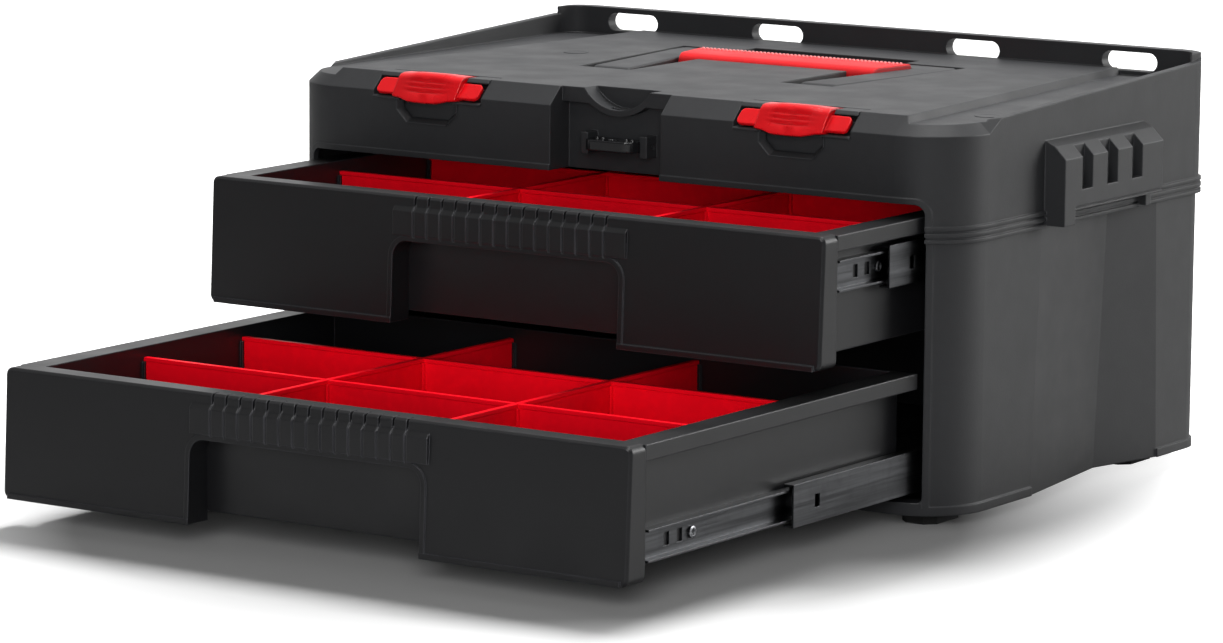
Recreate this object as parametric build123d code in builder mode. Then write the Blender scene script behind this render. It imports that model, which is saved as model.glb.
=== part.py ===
"""Stackable tool box with two full-extension drawers.

Modelled in millimetres, front towards -Y, +Z up. The origin lies on the floor, at the middle
of the space that the box takes with its drawers open as modelled: the lower one fully,
the upper one by about a third.
"""
import os
from math import atan2, degrees

from build123d import *

os.makedirs("parts", exist_ok=True)

# ---------------------------------------------------------------- driving dimensions, mm
# cabinet
body_width = 446.0
body_depth = 292.0
wall = 3.0
front_corner_radius = 36.0
rear_corner_radius = 20.0
foot_height = 8.0
floor_thickness = 3.0
base_lip_height = 5.0
base_lip_proud = 1.2
sill_height = 7.0
post_width = 18.0
opening_corner_radius = 6.0
opening_lip_width = 3.2
opening_lip_proud = 1.2
return_depth = 24.0
seam_drop = 15.0
recess_depth_low = 12.5
recess_depth_top = 9.5
recess_front_low = 90.0
recess_front_top = 98.0
recess_fold_low = 184.0
recess_fold_top = 190.0
recess_back_low = 236.0
recess_back_top = 229.0
rib_inset = 2.0
rib_thickness = 5.0

# top shell
shell_height = 59.0
shell_grow = 1.5
skirt_grow = 3.0
skirt_drop = 6.0
skirt_height = 9.0
skirt_groove_width = 1.5
skirt_groove_depth = 1.2
rear_rim_height = 12.5
rear_rim_thickness = 8.0
side_rim_thickness = 4.5
side_rim_front_rise = 1.0
side_rim_rear_dip = 4.5
rim_corner_run = 14.0
rim_inner_radius = 14.0
channel_drop = 4.0
plateau_front_margin = 30.5
plateau_rear_margin = 55.5
plateau_draft = 30.0
chamfer_depth = 10.5
chamfer_rise = 10.0
chamfer_fade = 16.0
chamfer_fade_end = 0.5
rim_slot_length = 36.5
rim_slot_height = 11.0
rim_slot_drop = 8.5
rim_slot_x = 68.2
rim_slot_pitch = 105.0

# side cleats
cleat_front = 97.0
cleat_length = 112.0
cleat_out = 13.0
cleat_height = 36.0
cleat_slope = 7.0
cleat_notch_width = 12.0
cleat_notch_pitch = 28.5
cleat_notch_first = 19.0
cleat_notch_depth = 6.0
cleat_notch_rise = 11.0
cleat_foot_length = 12.0
cleat_foot_drop = 8.0
cleat_line = 1.0

# centre niche, its scooped lip and the lock tab
niche_width = 74.0
niche_depth = 19.0
niche_lip_height = 8.5
lip_setback = 12.0
scoop_radius = 27.0
scoop_depth = 11.5
scoop_wall = 3.5
scoop_length = 24.0
lip_hole_width = 13.0
tab_rise = 16.0
tab_width = 34.0
tab_thickness = 6.0
tab_axis_setback = 4.2
tab_reach = 14.0
tab_eye_radius = 4.0
tab_pin_radius = 1.5
tab_lug_width = 5.0

# module latches
latch_x = 122.0
latch_width = 72.0
latch_centre_width = 44.0
latch_centre_flat = 26.0
latch_thickness = 5.0
latch_proud = 3.6
latch_tab_proud = 0.8
latch_centre_drop = 4.0
latch_tab_drop = 2.5
latch_crown = 2.0
latch_gap = 1.5
latch_axis_behind = 15.0
latch_barrel_radius = 3.4
latch_barrel_drop = 2.6
latch_pin_radius = 1.5
finger_width = 42.0
finger_height = 17.0
finger_depth = 5.0
finger_bevel = 7.0

# carrying handle and its tub
tub_front = 99.0
tub_rear = 227.0
tub_front_width = 172.0
tub_rear_width = 196.0
tub_depth = 18.5
finger_slot_width = 114.0
finger_slot_rear = 243.0
finger_slot_depth = 13.5
handle_gap = 3.0
handle_drop = 3.0
handle_thickness = 12.0
handle_arm_front = 25.0
handle_arm_rear = 22.0
handle_bar_depth = 16.0
handle_axis_behind = 113.0
handle_pin_radius = 3.0
handle_edge = 2.0
handle_lug_width = 6.0
grip_depth = 34.0
grip_drop = 1.5
grip_bulge = 1.0
grip_edge = 4.5

# drawers
panel_gap = 2.5
panel_sill_gap = 0.8
panel_height = 71.0
panel_depth = 13.0
panel_lean = 3.2
panel_wall = 3.0
panel_corner_radius = 4.0
panel_edge = 1.4
panel_pitch_gap = 13.7
panel_top_gap = 6.5
panel_lip_height = 3.0
panel_lip_proud = 1.2
hand_cut_width = 150.0
hand_cut_height = 46.0
hand_cut_radius = 9.0
hand_rim_proud = 1.0
grip_bar_width = 154.0
grip_bar_height = 22.0
grip_slope_height = 8.5
grip_bar_back = 5.0
grip_bar_proud = 2.5
grip_bar_shift = 2.0
grip_groove_count = 15
grip_groove_pitch = 9.0
grip_groove_width = 1.4
grip_groove_depth = 0.9
tray_wall = 2.5
tray_floor = 2.5
tray_bottom_offset = 5.0
tray_top_offset = 0.5
tray_rear_gap = 12.0
flange_drop = 8.5
flange_thickness = 2.5
lower_open = 276.0
upper_open = 96.0

# drawer dividers
divider_thickness = 2.2
divider_bead = 3.4
divider_bead_height = 2.2
divider_top_drop = 6.0
divider_rows = 3
divider_columns = 3
divider_gap = 0.2
divider_foot = 7.0
divider_rib = 0.6
divider_rib_share = 0.6
guide_rib = 1.6

# slides
slide_length = 252.0
slide_setback = 26.0
slide_space = 13.0
slide_outer_height = 29.0
slide_mid_height = 23.0
slide_inner_height = 17.0
slide_outer_lip = 8.0
slide_mid_lip = 5.0
slide_inner_lip = 6.0
slide_member_gap = 2.8
slide_metal = 1.2
slide_mid_ratio = 0.52
slide_slot_width = 5.0
slide_slot_height = 7.0
slide_slot_first = 21.0
slide_slot_second = 33.0
lower_slide_offset = 15.7
upper_slide_offset = 46.5
cage_length = 100.0
cage_width = 4.0
cage_inset = 5.0
cage_clearance = 0.2

# feet, and the running clearance of each pin in the piece that turns on it
foot_length = 34.0
foot_width = 22.0
foot_side_inset = 31.5
foot_end_inset = 36.0
running_clearance = 0.06

# ---------------------------------------------------------------- derived places
half_body = body_width / 2
overall_depth = body_depth + skirt_grow + lower_open + panel_lean + panel_lip_proud
rear_y = overall_depth / 2 - skirt_grow
front_y = rear_y - body_depth
middle_y = (front_y + rear_y) / 2
shell_front_y = front_y - shell_grow
shell_half = half_body + shell_grow

opening_width = body_width - 2 * post_width
half_opening = opening_width / 2
panel_width = opening_width - 2 * panel_gap
rib_face_x = half_opening - rib_inset
tray_half_width = rib_face_x - slide_space

body_z = foot_height
sill_z = foot_height + sill_height
lower_panel_z = sill_z + panel_sill_gap
upper_panel_z = lower_panel_z + panel_height + panel_pitch_gap
opening_top_z = upper_panel_z + panel_height + panel_top_gap
seam_z = opening_top_z - seam_drop
skirt_z = seam_z - skirt_drop
top_z = opening_top_z + shell_height
plateau_z = top_z - rear_rim_height
channel_z = plateau_z - channel_drop
chamfer_z = plateau_z - chamfer_rise
ceiling_z = channel_z - wall

rim_inner_x = shell_half - side_rim_thickness
rear_rim_y = rear_y + shell_grow - rear_rim_thickness
slide_front_y = front_y + slide_setback
reach = 2 * body_width


def save(piece, label):
    """Names a finished piece and writes its file."""
    piece.label = label
    export_step(piece, f"parts/{label}.step")


def block(x0, x1, y0, y1, z0, z1, mode=Mode.ADD):
    """A box between two corners."""
    with Locations(((x0 + x1) / 2, (y0 + y1) / 2, (z0 + z1) / 2)):
        Box(abs(x1 - x0), abs(y1 - y0), abs(z1 - z0), mode=mode)


def rod(radius, x0, x1, y, z, mode=Mode.ADD):
    """A round bar along X."""
    with Locations(((x0 + x1) / 2, y, z)):
        Cylinder(radius, abs(x1 - x0), rotation=(0, 90, 0), mode=mode)


def side_profile(x, *points):
    """A closed outline in the plane across X at x, given as (y, z) points."""
    with BuildSketch(Plane.YZ.offset(x)) as profile:
        with BuildLine():
            Polyline(*points, close=True)
        make_face()
    return profile.sketch


def plan(grow):
    """Plan of the cabinet, with large front corners and smaller rear ones."""
    with BuildSketch(Plane.XY) as outline:
        with Locations((0, middle_y)):
            Rectangle(body_width + 2 * grow, body_depth + 2 * grow)
        fillet(outline.vertices().group_by(Axis.Y)[0], front_corner_radius + grow)
        fillet(outline.vertices().group_by(Axis.Y)[-1], rear_corner_radius + grow)
    return outline.sketch


def side_fold(z, side, depth, start, fold, end, grow):
    """Plan of the folded recess in one side of the lower body, at one height."""
    outside = side * (half_body + 2 * wall)
    with BuildSketch(Plane.XY.offset(z)) as outline:
        with BuildLine():
            Polyline(
                (side * half_body, front_y + start),
                (side * (half_body - depth), front_y + fold),
                (side * half_body, front_y + end),
                (outside, front_y + end),
                (outside, front_y + start),
                close=True,
            )
        make_face()
        if grow:
            offset(amount=grow, kind=Kind.INTERSECTION)
    return outline.sketch


def cut_side_folds(grow):
    """Cuts both recesses, deeper and longer at the bottom, into the current piece."""
    for side in (-1, 1):
        low = side_fold(body_z - wall, side, recess_depth_low, recess_front_low, recess_fold_low,
                        recess_back_low, grow)
        high = side_fold(seam_z + wall, side, recess_depth_top, recess_front_top, recess_fold_top,
                         recess_back_top, grow)
        loft([low, high], ruled=True, mode=Mode.SUBTRACT)


# ---------------------------------------------------------------- lower body
rib_places = [slide_front_y + share * slide_length for share in (0.03, 0.34, 0.66, 0.97)]

with BuildPart() as cavity:
    with BuildSketch(Plane.XY.offset(body_z + floor_thickness)):
        add(plan(-wall))
    extrude(amount=seam_z - body_z)
    cut_side_folds(wall)

with BuildPart() as lower_body:
    with BuildSketch(Plane.XY.offset(body_z)):
        add(plan(0))
    extrude(amount=seam_z - body_z)
    with BuildSketch(Plane.XY.offset(body_z)):
        add(plan(base_lip_proud))
    extrude(amount=base_lip_height)
    # the rim round the drawer opening stands a little proud of the skin
    with BuildSketch(Plane.XY.offset(sill_z - opening_lip_width)):
        with Locations((0, front_y)):
            Rectangle(opening_width + 2 * opening_lip_width, 2 * front_corner_radius)
        add(plan(opening_lip_proud), mode=Mode.INTERSECT)
    extrude(amount=skirt_z - sill_z + opening_lip_width)
    cut_side_folds(0)
    add(cavity.part, mode=Mode.SUBTRACT)
    # returns that stiffen the edge of the opening
    with BuildSketch(Plane.XY.offset(body_z + floor_thickness)):
        for side in (-1, 1):
            with Locations((side * (half_opening + wall / 2), front_y + return_depth / 2)):
                Rectangle(wall, return_depth)
        add(plan(-wall / 2), mode=Mode.INTERSECT)
    extrude(amount=seam_z - body_z - floor_thickness)
    block(-half_opening, half_opening, front_y + wall, front_y + return_depth / 2, sill_z - wall, sill_z)
    # the drawer opening, up to the seam
    with BuildSketch(Plane.XZ.offset(-front_y + 2 * wall)) as gate:
        with Locations((0, (sill_z + seam_z + reach) / 2)):
            Rectangle(opening_width, seam_z + reach - sill_z)
        fillet(gate.vertices().group_by(Axis.Y)[0], opening_corner_radius / 2)
    extrude(amount=-(2 * wall + return_depth), mode=Mode.SUBTRACT)
    # upright ribs that the slides are screwed to
    rib_depth = half_body - wall / 2 - rib_face_x
    with BuildSketch(Plane.XY.offset(body_z + floor_thickness)):
        for rib_y in rib_places:
            for side in (-1, 1):
                with Locations((side * (rib_face_x + rib_depth / 2), rib_y)):
                    Rectangle(rib_depth, rib_thickness)
        add(plan(-wall / 2), mode=Mode.INTERSECT)
    extrude(amount=seam_z - body_z - floor_thickness)
    cut_side_folds(0)
save(lower_body.part, "lower_body")

# ---------------------------------------------------------------- feet
foot_x = half_body - foot_side_inset
for place, (side, foot_y) in {
    "front_left": (-1, front_y + foot_end_inset),
    "front_right": (1, front_y + foot_end_inset),
    "rear_left": (-1, rear_y - foot_end_inset),
    "rear_right": (1, rear_y - foot_end_inset),
}.items():
    with BuildPart() as foot:
        block(side * foot_x - foot_width / 2, side * foot_x + foot_width / 2,
              foot_y - foot_length / 2, foot_y + foot_length / 2, 0, foot_height)
        chamfer(foot.edges().filter_by(Axis.Z), foot_width / 4)
    save(foot.part, f"{place}_foot")

# ---------------------------------------------------------------- top shell
handle_top_z = plateau_z - handle_drop
handle_bottom_z = handle_top_z - handle_thickness
handle_axis_z = (handle_top_z + handle_bottom_z) / 2
handle_axis_y = front_y + handle_axis_behind
tub_floor_z = plateau_z - tub_depth
finger_slot_floor_z = plateau_z - finger_slot_depth
arm_outer_x = tub_front_width / 2 - handle_gap
arm_inner_x = arm_outer_x - handle_arm_front
lug_outer_x = arm_inner_x - handle_gap / 3
lug_inner_x = lug_outer_x - handle_lug_width
pin_outer_x = tub_front_width / 2 + 2 * wall
grip_front_y = front_y + tub_rear - handle_gap - handle_bar_depth - grip_depth
island_rear_y = grip_front_y - handle_gap

latch_axis_y = front_y + latch_axis_behind
latch_axis_z = plateau_z - latch_barrel_drop
pocket_floor_z = latch_axis_z - latch_barrel_radius - latch_gap
pocket_width = latch_width + 2 * latch_gap
pocket_back_y = latch_axis_y + latch_barrel_radius + latch_gap
latch_pin_reach = pocket_width / 2 + wall
finger_z = chamfer_z - finger_height

tab_z = opening_top_z + tab_rise
niche_back_y = shell_front_y + niche_depth
niche_top_z = plateau_z - niche_lip_height
scoop_z = plateau_z - scoop_depth + scoop_radius
tab_axis_y = niche_back_y - tab_axis_setback
tab_pin_reach = tab_width / 2 + tab_lug_width
slot_z = top_z - rim_slot_drop
slot_places = [(side * (rim_slot_x + step), slot_z) for side in (-1, 1) for step in (0, rim_slot_pitch)]

with BuildSketch(Plane.XY) as tub_plan:
    with BuildLine():
        Polyline(
            (-tub_front_width / 2, front_y + tub_front),
            (tub_front_width / 2, front_y + tub_front),
            (tub_rear_width / 2, front_y + tub_rear),
            (-tub_rear_width / 2, front_y + tub_rear),
            close=True,
        )
    make_face()
with BuildSketch(Plane.XY) as tub_outer:
    add(tub_plan.sketch)
    offset(amount=wall, kind=Kind.INTERSECTION)

# everything above and outside the chamfer that runs round the two front corners
with BuildPart() as edge_cut:
    block(-reach, reach, front_y - reach, front_y + front_corner_radius, chamfer_z, top_z + reach)
    with BuildSketch(Plane.XY.offset(chamfer_z)):
        add(plan(shell_grow))
    extrude(amount=chamfer_rise, taper=degrees(atan2(chamfer_depth, chamfer_rise)), mode=Mode.SUBTRACT)


def chamfer_section(side, y, share):
    """Section of the chamfer on one side, shrunk to a share of its size as it fades out."""
    outside = side * (shell_half + wall)
    with BuildSketch(Plane.XZ.offset(-y)) as section:
        with BuildLine():
            Polyline(
                (side * shell_half, plateau_z - share * chamfer_rise),
                (side * (shell_half - share * chamfer_depth), plateau_z),
                (side * (shell_half - share * chamfer_depth), top_z),
                (outside, top_z),
                (outside, plateau_z - share * chamfer_rise),
                close=True,
            )
        make_face()
    return section.sketch


# the raised plateau of the deck, a little narrower towards the rear
with BuildPart() as plateau:
    with BuildSketch(Plane.XY.offset(channel_z)):
        with BuildLine():
            Polyline(
                (-half_body + plateau_front_margin, front_y - wall),
                (half_body - plateau_front_margin, front_y - wall),
                (half_body - plateau_rear_margin, rear_rim_y + wall),
                (-half_body + plateau_rear_margin, rear_rim_y + wall),
                close=True,
            )
        make_face()
    extrude(amount=channel_drop, taper=plateau_draft)

with BuildPart() as top_shell:
    with BuildSketch(Plane.XY.offset(skirt_z)):
        add(plan(shell_grow))
    extrude(amount=top_z - skirt_z)
    # the skirt round the seam, where two grooves leave three thin ridges
    with BuildSketch(Plane.XY.offset(skirt_z)):
        add(plan(skirt_grow))
    extrude(amount=skirt_height)
    for share in (0.3, 0.7):
        with BuildSketch(Plane.XY.offset(skirt_z + share * skirt_height - skirt_groove_width / 2)):
            add(plan(skirt_grow))
            add(plan(skirt_grow - skirt_groove_depth), mode=Mode.SUBTRACT)
        extrude(amount=skirt_groove_width, mode=Mode.SUBTRACT)
    # deck between the rims, and its plateau
    with BuildSketch(Plane.XY.offset(channel_z)) as deck:
        with Locations((0, (front_y - 2 * wall + rear_rim_y) / 2)):
            Rectangle(2 * rim_inner_x, rear_rim_y - front_y + 2 * wall)
        fillet(deck.vertices().group_by(Axis.Y)[-1], rim_inner_radius)
    extrude(amount=top_z + wall - channel_z, mode=Mode.SUBTRACT)
    add(plateau.part)
    # side rims rise towards the rear wall
    for side in (-1, 1):
        outline = side_profile(
            side * rim_inner_x,
            (shell_front_y - wall, channel_z + side_rim_front_rise),
            (front_y + front_corner_radius, channel_z + side_rim_front_rise),
            (rear_y - rim_corner_run, top_z - side_rim_rear_dip),
            (rear_y, top_z),
            (rear_y, top_z + wall),
            (shell_front_y - wall, top_z + wall),
        )
        extrude(outline, amount=side * reach, mode=Mode.SUBTRACT)
    # hollow inside
    with BuildSketch(Plane.XY.offset(skirt_z)):
        add(plan(shell_grow - wall))
    extrude(amount=chamfer_z - wall - skirt_z, mode=Mode.SUBTRACT)
    with BuildSketch(Plane.XY.offset(chamfer_z - 2 * wall)):
        add(plan(-chamfer_depth - wall))
    extrude(amount=ceiling_z - chamfer_z + 2 * wall, mode=Mode.SUBTRACT)
    under_x = half_body - plateau_rear_margin - wall - channel_drop
    block(-under_x, under_x, front_y + chamfer_depth + wall, rear_y - rear_corner_radius,
          ceiling_z - wall, plateau_z - wall, mode=Mode.SUBTRACT)
    # rim and upper end of the drawer opening
    with BuildSketch(Plane.XZ.offset(-front_y + 2 * skirt_grow)) as arch_rim:
        with Locations((0, (seam_z + opening_top_z + opening_lip_width) / 2)):
            Rectangle(opening_width + 2 * opening_lip_width, opening_top_z + opening_lip_width - seam_z)
        fillet(arch_rim.vertices().group_by(Axis.Y)[-1], opening_corner_radius + opening_lip_width)
    arch_bar = extrude(amount=-(2 * skirt_grow + front_corner_radius), mode=Mode.PRIVATE)
    with BuildSketch(Plane.XY.offset(seam_z)):
        add(plan(shell_grow + opening_lip_proud))
        add(plan(shell_grow - wall), mode=Mode.SUBTRACT)
    lip_ring = extrude(amount=opening_top_z, mode=Mode.PRIVATE)
    add(lip_ring & arch_bar)
    with BuildSketch(Plane.XZ.offset(-front_y + 2 * skirt_grow)) as arch:
        with Locations((0, (skirt_z + opening_top_z - reach) / 2)):
            Rectangle(opening_width, opening_top_z + reach - skirt_z)
        fillet(arch.vertices().group_by(Axis.Y)[-1], opening_corner_radius)
    extrude(amount=-(2 * skirt_grow + return_depth), mode=Mode.SUBTRACT)
    # walls of the tub, the finger slot, the latch pockets and the niche
    with BuildSketch(Plane.XY.offset(tub_floor_z - wall)):
        add(tub_outer.sketch)
    extrude(amount=plateau_z - tub_floor_z + wall)
    block(-finger_slot_width / 2 - wall, finger_slot_width / 2 + wall, front_y + tub_rear,
          front_y + finger_slot_rear + wall, finger_slot_floor_z - wall, plateau_z)
    for side in (-1, 1):
        half = pocket_width / 2 + 2 * wall
        block(side * latch_x - half, side * latch_x + half, front_y + wall / 2, pocket_back_y + wall,
              finger_z - wall, chamfer_z - wall)
        block(side * latch_x - half, side * latch_x + half, front_y + chamfer_depth, pocket_back_y + wall,
              chamfer_z - wall, plateau_z)
        block(side * tub_front_width / 2, side * (pin_outer_x + wall), handle_axis_y - 2 * wall,
              handle_axis_y + 2 * wall, tub_floor_z - wall, plateau_z)
    block(-niche_width / 2 - wall, niche_width / 2 + wall, front_y + wall / 2, niche_back_y + wall,
          opening_top_z, chamfer_z - wall)
    block(-niche_width / 2 - wall, niche_width / 2 + wall, front_y + chamfer_depth,
          shell_front_y + scoop_length + wall, chamfer_z - wall, plateau_z)
    add(edge_cut.part, mode=Mode.SUBTRACT)
    for side in (-1, 1):
        fade_start = front_y + front_corner_radius
        loft([
            chamfer_section(side, fade_start, 1),
            chamfer_section(side, fade_start + chamfer_fade, chamfer_fade_end / chamfer_rise),
        ], ruled=True, mode=Mode.SUBTRACT)
    # tub under the handle, with the finger slot behind its grip
    with BuildSketch(Plane.XY.offset(tub_floor_z)):
        add(tub_plan.sketch)
    extrude(amount=reach, mode=Mode.SUBTRACT)
    block(-finger_slot_width / 2, finger_slot_width / 2, front_y + tub_rear - wall, front_y + finger_slot_rear,
          finger_slot_floor_z, top_z, mode=Mode.SUBTRACT)
    # the deck runs on between the two arms of the handle, up to its grip
    block(-lug_inner_x, lug_inner_x, front_y + tub_front - wall, island_rear_y, tub_floor_z - wall / 2, plateau_z)
    # latch pockets in the chamfer, and the bevelled finger recesses below them
    for side in (-1, 1):
        outline = side_profile(
            side * latch_x - pocket_width / 2,
            (shell_front_y - wall, chamfer_z - latch_tab_drop - latch_gap),
            (shell_front_y + latch_thickness, chamfer_z - latch_tab_drop - latch_gap),
            (shell_front_y + chamfer_depth + latch_thickness, pocket_floor_z),
            (pocket_back_y, pocket_floor_z),
            (pocket_back_y, top_z),
            (shell_front_y - wall, top_z),
        )
        extrude(outline, amount=pocket_width, mode=Mode.SUBTRACT)
        with BuildSketch(Plane.XZ.offset(-shell_front_y)) as recess:
            with Locations((side * latch_x, (finger_z + chamfer_z) / 2)):
                Rectangle(finger_width, chamfer_z - finger_z)
            chamfer(recess.vertices().group_by(Axis.Y)[0], finger_bevel)
        extrude(amount=-finger_depth, mode=Mode.SUBTRACT)
    # centre niche under a lip, with a scoop in the lip and a hole behind it
    block(-niche_width / 2, niche_width / 2, shell_front_y - wall, shell_front_y + lip_setback,
          opening_top_z - wall, top_z, mode=Mode.SUBTRACT)
    with BuildSketch(Plane.XZ.offset(-shell_front_y)):
        with Locations((0, (opening_top_z - wall + niche_top_z) / 2)):
            Rectangle(niche_width, niche_top_z - opening_top_z + wall)
        with Locations((0, scoop_z)):
            Circle(scoop_radius + scoop_wall, mode=Mode.SUBTRACT)
    extrude(amount=-niche_depth, mode=Mode.SUBTRACT)
    with Locations((0, shell_front_y + scoop_length / 2, scoop_z)):
        Cylinder(scoop_radius, scoop_length, rotation=(90, 0, 0), mode=Mode.SUBTRACT)
    block(-lip_hole_width / 2, lip_hole_width / 2, shell_front_y + lip_setback + wall, niche_back_y,
          niche_top_z - scoop_depth, plateau_z - scoop_depth + wall, mode=Mode.SUBTRACT)
    # lugs and bores of the lock tab, the handle and the latches
    for side in (-1, 1):
        block(side * (tab_width / 2 + latch_gap / 3), side * tab_pin_reach, tab_axis_y - tab_thickness,
              niche_back_y, tab_z - tab_thickness, tab_z + tab_thickness)
        block(side * lug_inner_x, side * lug_outer_x, handle_axis_y - handle_thickness / 2,
              handle_axis_y + handle_thickness / 2, tub_floor_z, handle_axis_z)
        rod(handle_thickness / 2, side * lug_inner_x, side * lug_outer_x, handle_axis_y, handle_axis_z)
        rod(handle_pin_radius, side * lug_inner_x, side * pin_outer_x, handle_axis_y, handle_axis_z,
            mode=Mode.SUBTRACT)
        rod(latch_pin_radius, side * latch_x - latch_pin_reach, side * latch_x + latch_pin_reach,
            latch_axis_y, latch_axis_z, mode=Mode.SUBTRACT)
    rod(tab_pin_radius, -tab_pin_reach, tab_pin_reach, tab_axis_y, tab_z, mode=Mode.SUBTRACT)
    # long slots through the rear rim
    with BuildSketch(Plane.XZ.offset(-rear_rim_y)):
        with Locations(*slot_places):
            SlotOverall(rim_slot_length, rim_slot_height)
    extrude(amount=-(rear_rim_thickness + wall), mode=Mode.SUBTRACT)
    # notched side cleats, with a sloping top and a foot over the skirt at each end
    cleat_z = skirt_z + skirt_height
    cleat_start = front_y + cleat_front
    cleat_end = cleat_start + cleat_length
    for side in (-1, 1):
        root = side * (shell_half - wall / 2)
        face = side * (shell_half + cleat_out)
        with BuildSketch(Plane.XZ.offset(-cleat_start)):
            with BuildLine():
                Polyline(
                    (root, cleat_z),
                    (face, cleat_z),
                    (face, cleat_z + cleat_height - cleat_slope),
                    (face - side * cleat_slope, cleat_z + cleat_height),
                    (root, cleat_z + cleat_height + cleat_slope / 2),
                    close=True,
                )
            make_face()
        extrude(amount=-cleat_length)
        block(root, face, cleat_start, cleat_start + cleat_foot_length, cleat_z - cleat_foot_drop, cleat_z)
        block(root, face - side * cleat_slope, cleat_end - cleat_foot_length / 2, cleat_end,
              cleat_z - cleat_foot_drop, cleat_z)
        block(face - side * cleat_line, face + side, cleat_start + cleat_foot_length, cleat_end,
              cleat_z + cleat_line, cleat_z + 2 * cleat_line, mode=Mode.SUBTRACT)
        for number in range(3):
            start = cleat_start + cleat_notch_first + number * cleat_notch_pitch
            block(face - side * cleat_notch_depth, face + side, start, start + cleat_notch_width,
                  cleat_z + cleat_notch_rise, cleat_z + cleat_height + 1, mode=Mode.SUBTRACT)
    # the skirt seats over the top edge of the lower body
    with BuildSketch(Plane.XY.offset(skirt_z)):
        add(plan(opening_lip_proud / 3))
    extrude(amount=seam_z - skirt_z, mode=Mode.SUBTRACT)
save(top_shell.part, "top_shell")

# ---------------------------------------------------------------- lock tab and its pin
with BuildPart() as lock_tab:
    block(-tab_width / 2, tab_width / 2, tab_axis_y - tab_reach, tab_axis_y,
          tab_z - tab_thickness / 2, tab_z + tab_thickness / 2)
    chamfer(lock_tab.edges().filter_by(Axis.Z).group_by(Axis.Y)[0], tab_thickness)
    rod(tab_thickness / 2 + tab_pin_radius / 2, -tab_width / 2, tab_width / 2, tab_axis_y, tab_z)
    rod(tab_pin_radius + running_clearance, -tab_width, tab_width, tab_axis_y, tab_z, mode=Mode.SUBTRACT)
    with Locations((0, tab_axis_y - tab_reach / 2 - tab_pin_radius, tab_z)):
        Cylinder(tab_eye_radius, 2 * tab_thickness, mode=Mode.SUBTRACT)
save(lock_tab.part, "lock_tab")

with BuildPart() as lock_pin:
    rod(tab_pin_radius, -tab_pin_reach, tab_pin_reach, tab_axis_y, tab_z)
save(lock_pin.part, "lock_pin")

# ---------------------------------------------------------------- latches and their pins
latch_back_low_y = shell_front_y + latch_thickness - latch_gap
latch_back_high_y = shell_front_y + chamfer_depth + latch_thickness
latch_low_z = latch_axis_z - latch_barrel_radius


def latch_section(x, proud, drop, crown):
    """Cross section of a latch, which bulges by proud, hangs down by drop and is crowned on top."""
    return side_profile(
        x,
        (shell_front_y - proud + crown / 2, chamfer_z - drop),
        (shell_front_y - proud, chamfer_z - drop + crown / 2),
        (shell_front_y - proud, chamfer_z - crown / 2),
        (shell_front_y + chamfer_depth / 2, plateau_z - crown / 2),
        (shell_front_y + chamfer_depth, plateau_z + crown),
        (latch_axis_y, plateau_z + crown / 2),
        (latch_axis_y, latch_low_z),
        (latch_back_high_y, latch_low_z),
        (latch_back_low_y, chamfer_z - latch_tab_drop),
        (latch_back_low_y, chamfer_z - drop),
    )


for name, side in (("left", -1), ("right", 1)):
    centre_x = side * latch_x
    with BuildPart() as latch:
        # the bulging middle, which hooks forward over the chamfer and fades into the end tabs
        middle_x = [centre_x - latch_centre_flat / 2, centre_x + latch_centre_flat / 2]
        extrude(latch_section(middle_x[0], latch_proud, latch_centre_drop, latch_crown), amount=latch_centre_flat)
        for x, step in zip(middle_x, (-1, 1)):
            fade_x = x + step * (latch_centre_width - latch_centre_flat) / 2
            loft([
                latch_section(x, latch_proud, latch_centre_drop, latch_crown),
                latch_section(fade_x, latch_tab_proud, latch_tab_drop + latch_gap / 2, latch_crown / 2),
            ], ruled=True)
        # flat end tabs
        outline = side_profile(
            centre_x - latch_width / 2,
            (shell_front_y - latch_tab_proud, chamfer_z - latch_tab_drop),
            (shell_front_y - latch_tab_proud, chamfer_z + latch_crown / 2),
            (shell_front_y + chamfer_depth - latch_crown, plateau_z - latch_crown / 2),
            (latch_axis_y, plateau_z - latch_crown / 4),
            (latch_axis_y, latch_low_z),
            (latch_back_high_y, latch_low_z),
            (latch_back_low_y, chamfer_z - latch_tab_drop),
        )
        extrude(outline, amount=latch_width)
        rod(latch_barrel_radius, centre_x - latch_width / 2, centre_x + latch_width / 2,
            latch_axis_y, latch_axis_z)
        rod(latch_pin_radius + running_clearance, centre_x - latch_width, centre_x + latch_width,
            latch_axis_y, latch_axis_z, mode=Mode.SUBTRACT)
    save(latch.part, f"{name}_latch")
    with BuildPart() as latch_pin:
        rod(latch_pin_radius, centre_x - latch_pin_reach, centre_x + latch_pin_reach,
            latch_axis_y, latch_axis_z)
    save(latch_pin.part, f"{name}_latch_pin")

# ---------------------------------------------------------------- carrying handle
bar_rear_y = front_y + tub_rear - handle_gap
bar_front_y = bar_rear_y - handle_bar_depth
bar_outer_x = tub_rear_width / 2 - handle_gap
arm_rear_inner_x = bar_outer_x - handle_arm_rear
grip_share = (grip_front_y - handle_axis_y) / (bar_front_y - handle_axis_y)
grip_front_x = arm_inner_x + grip_share * (arm_rear_inner_x - arm_inner_x) - divider_gap
grip_rear_x = arm_rear_inner_x - divider_gap

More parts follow.
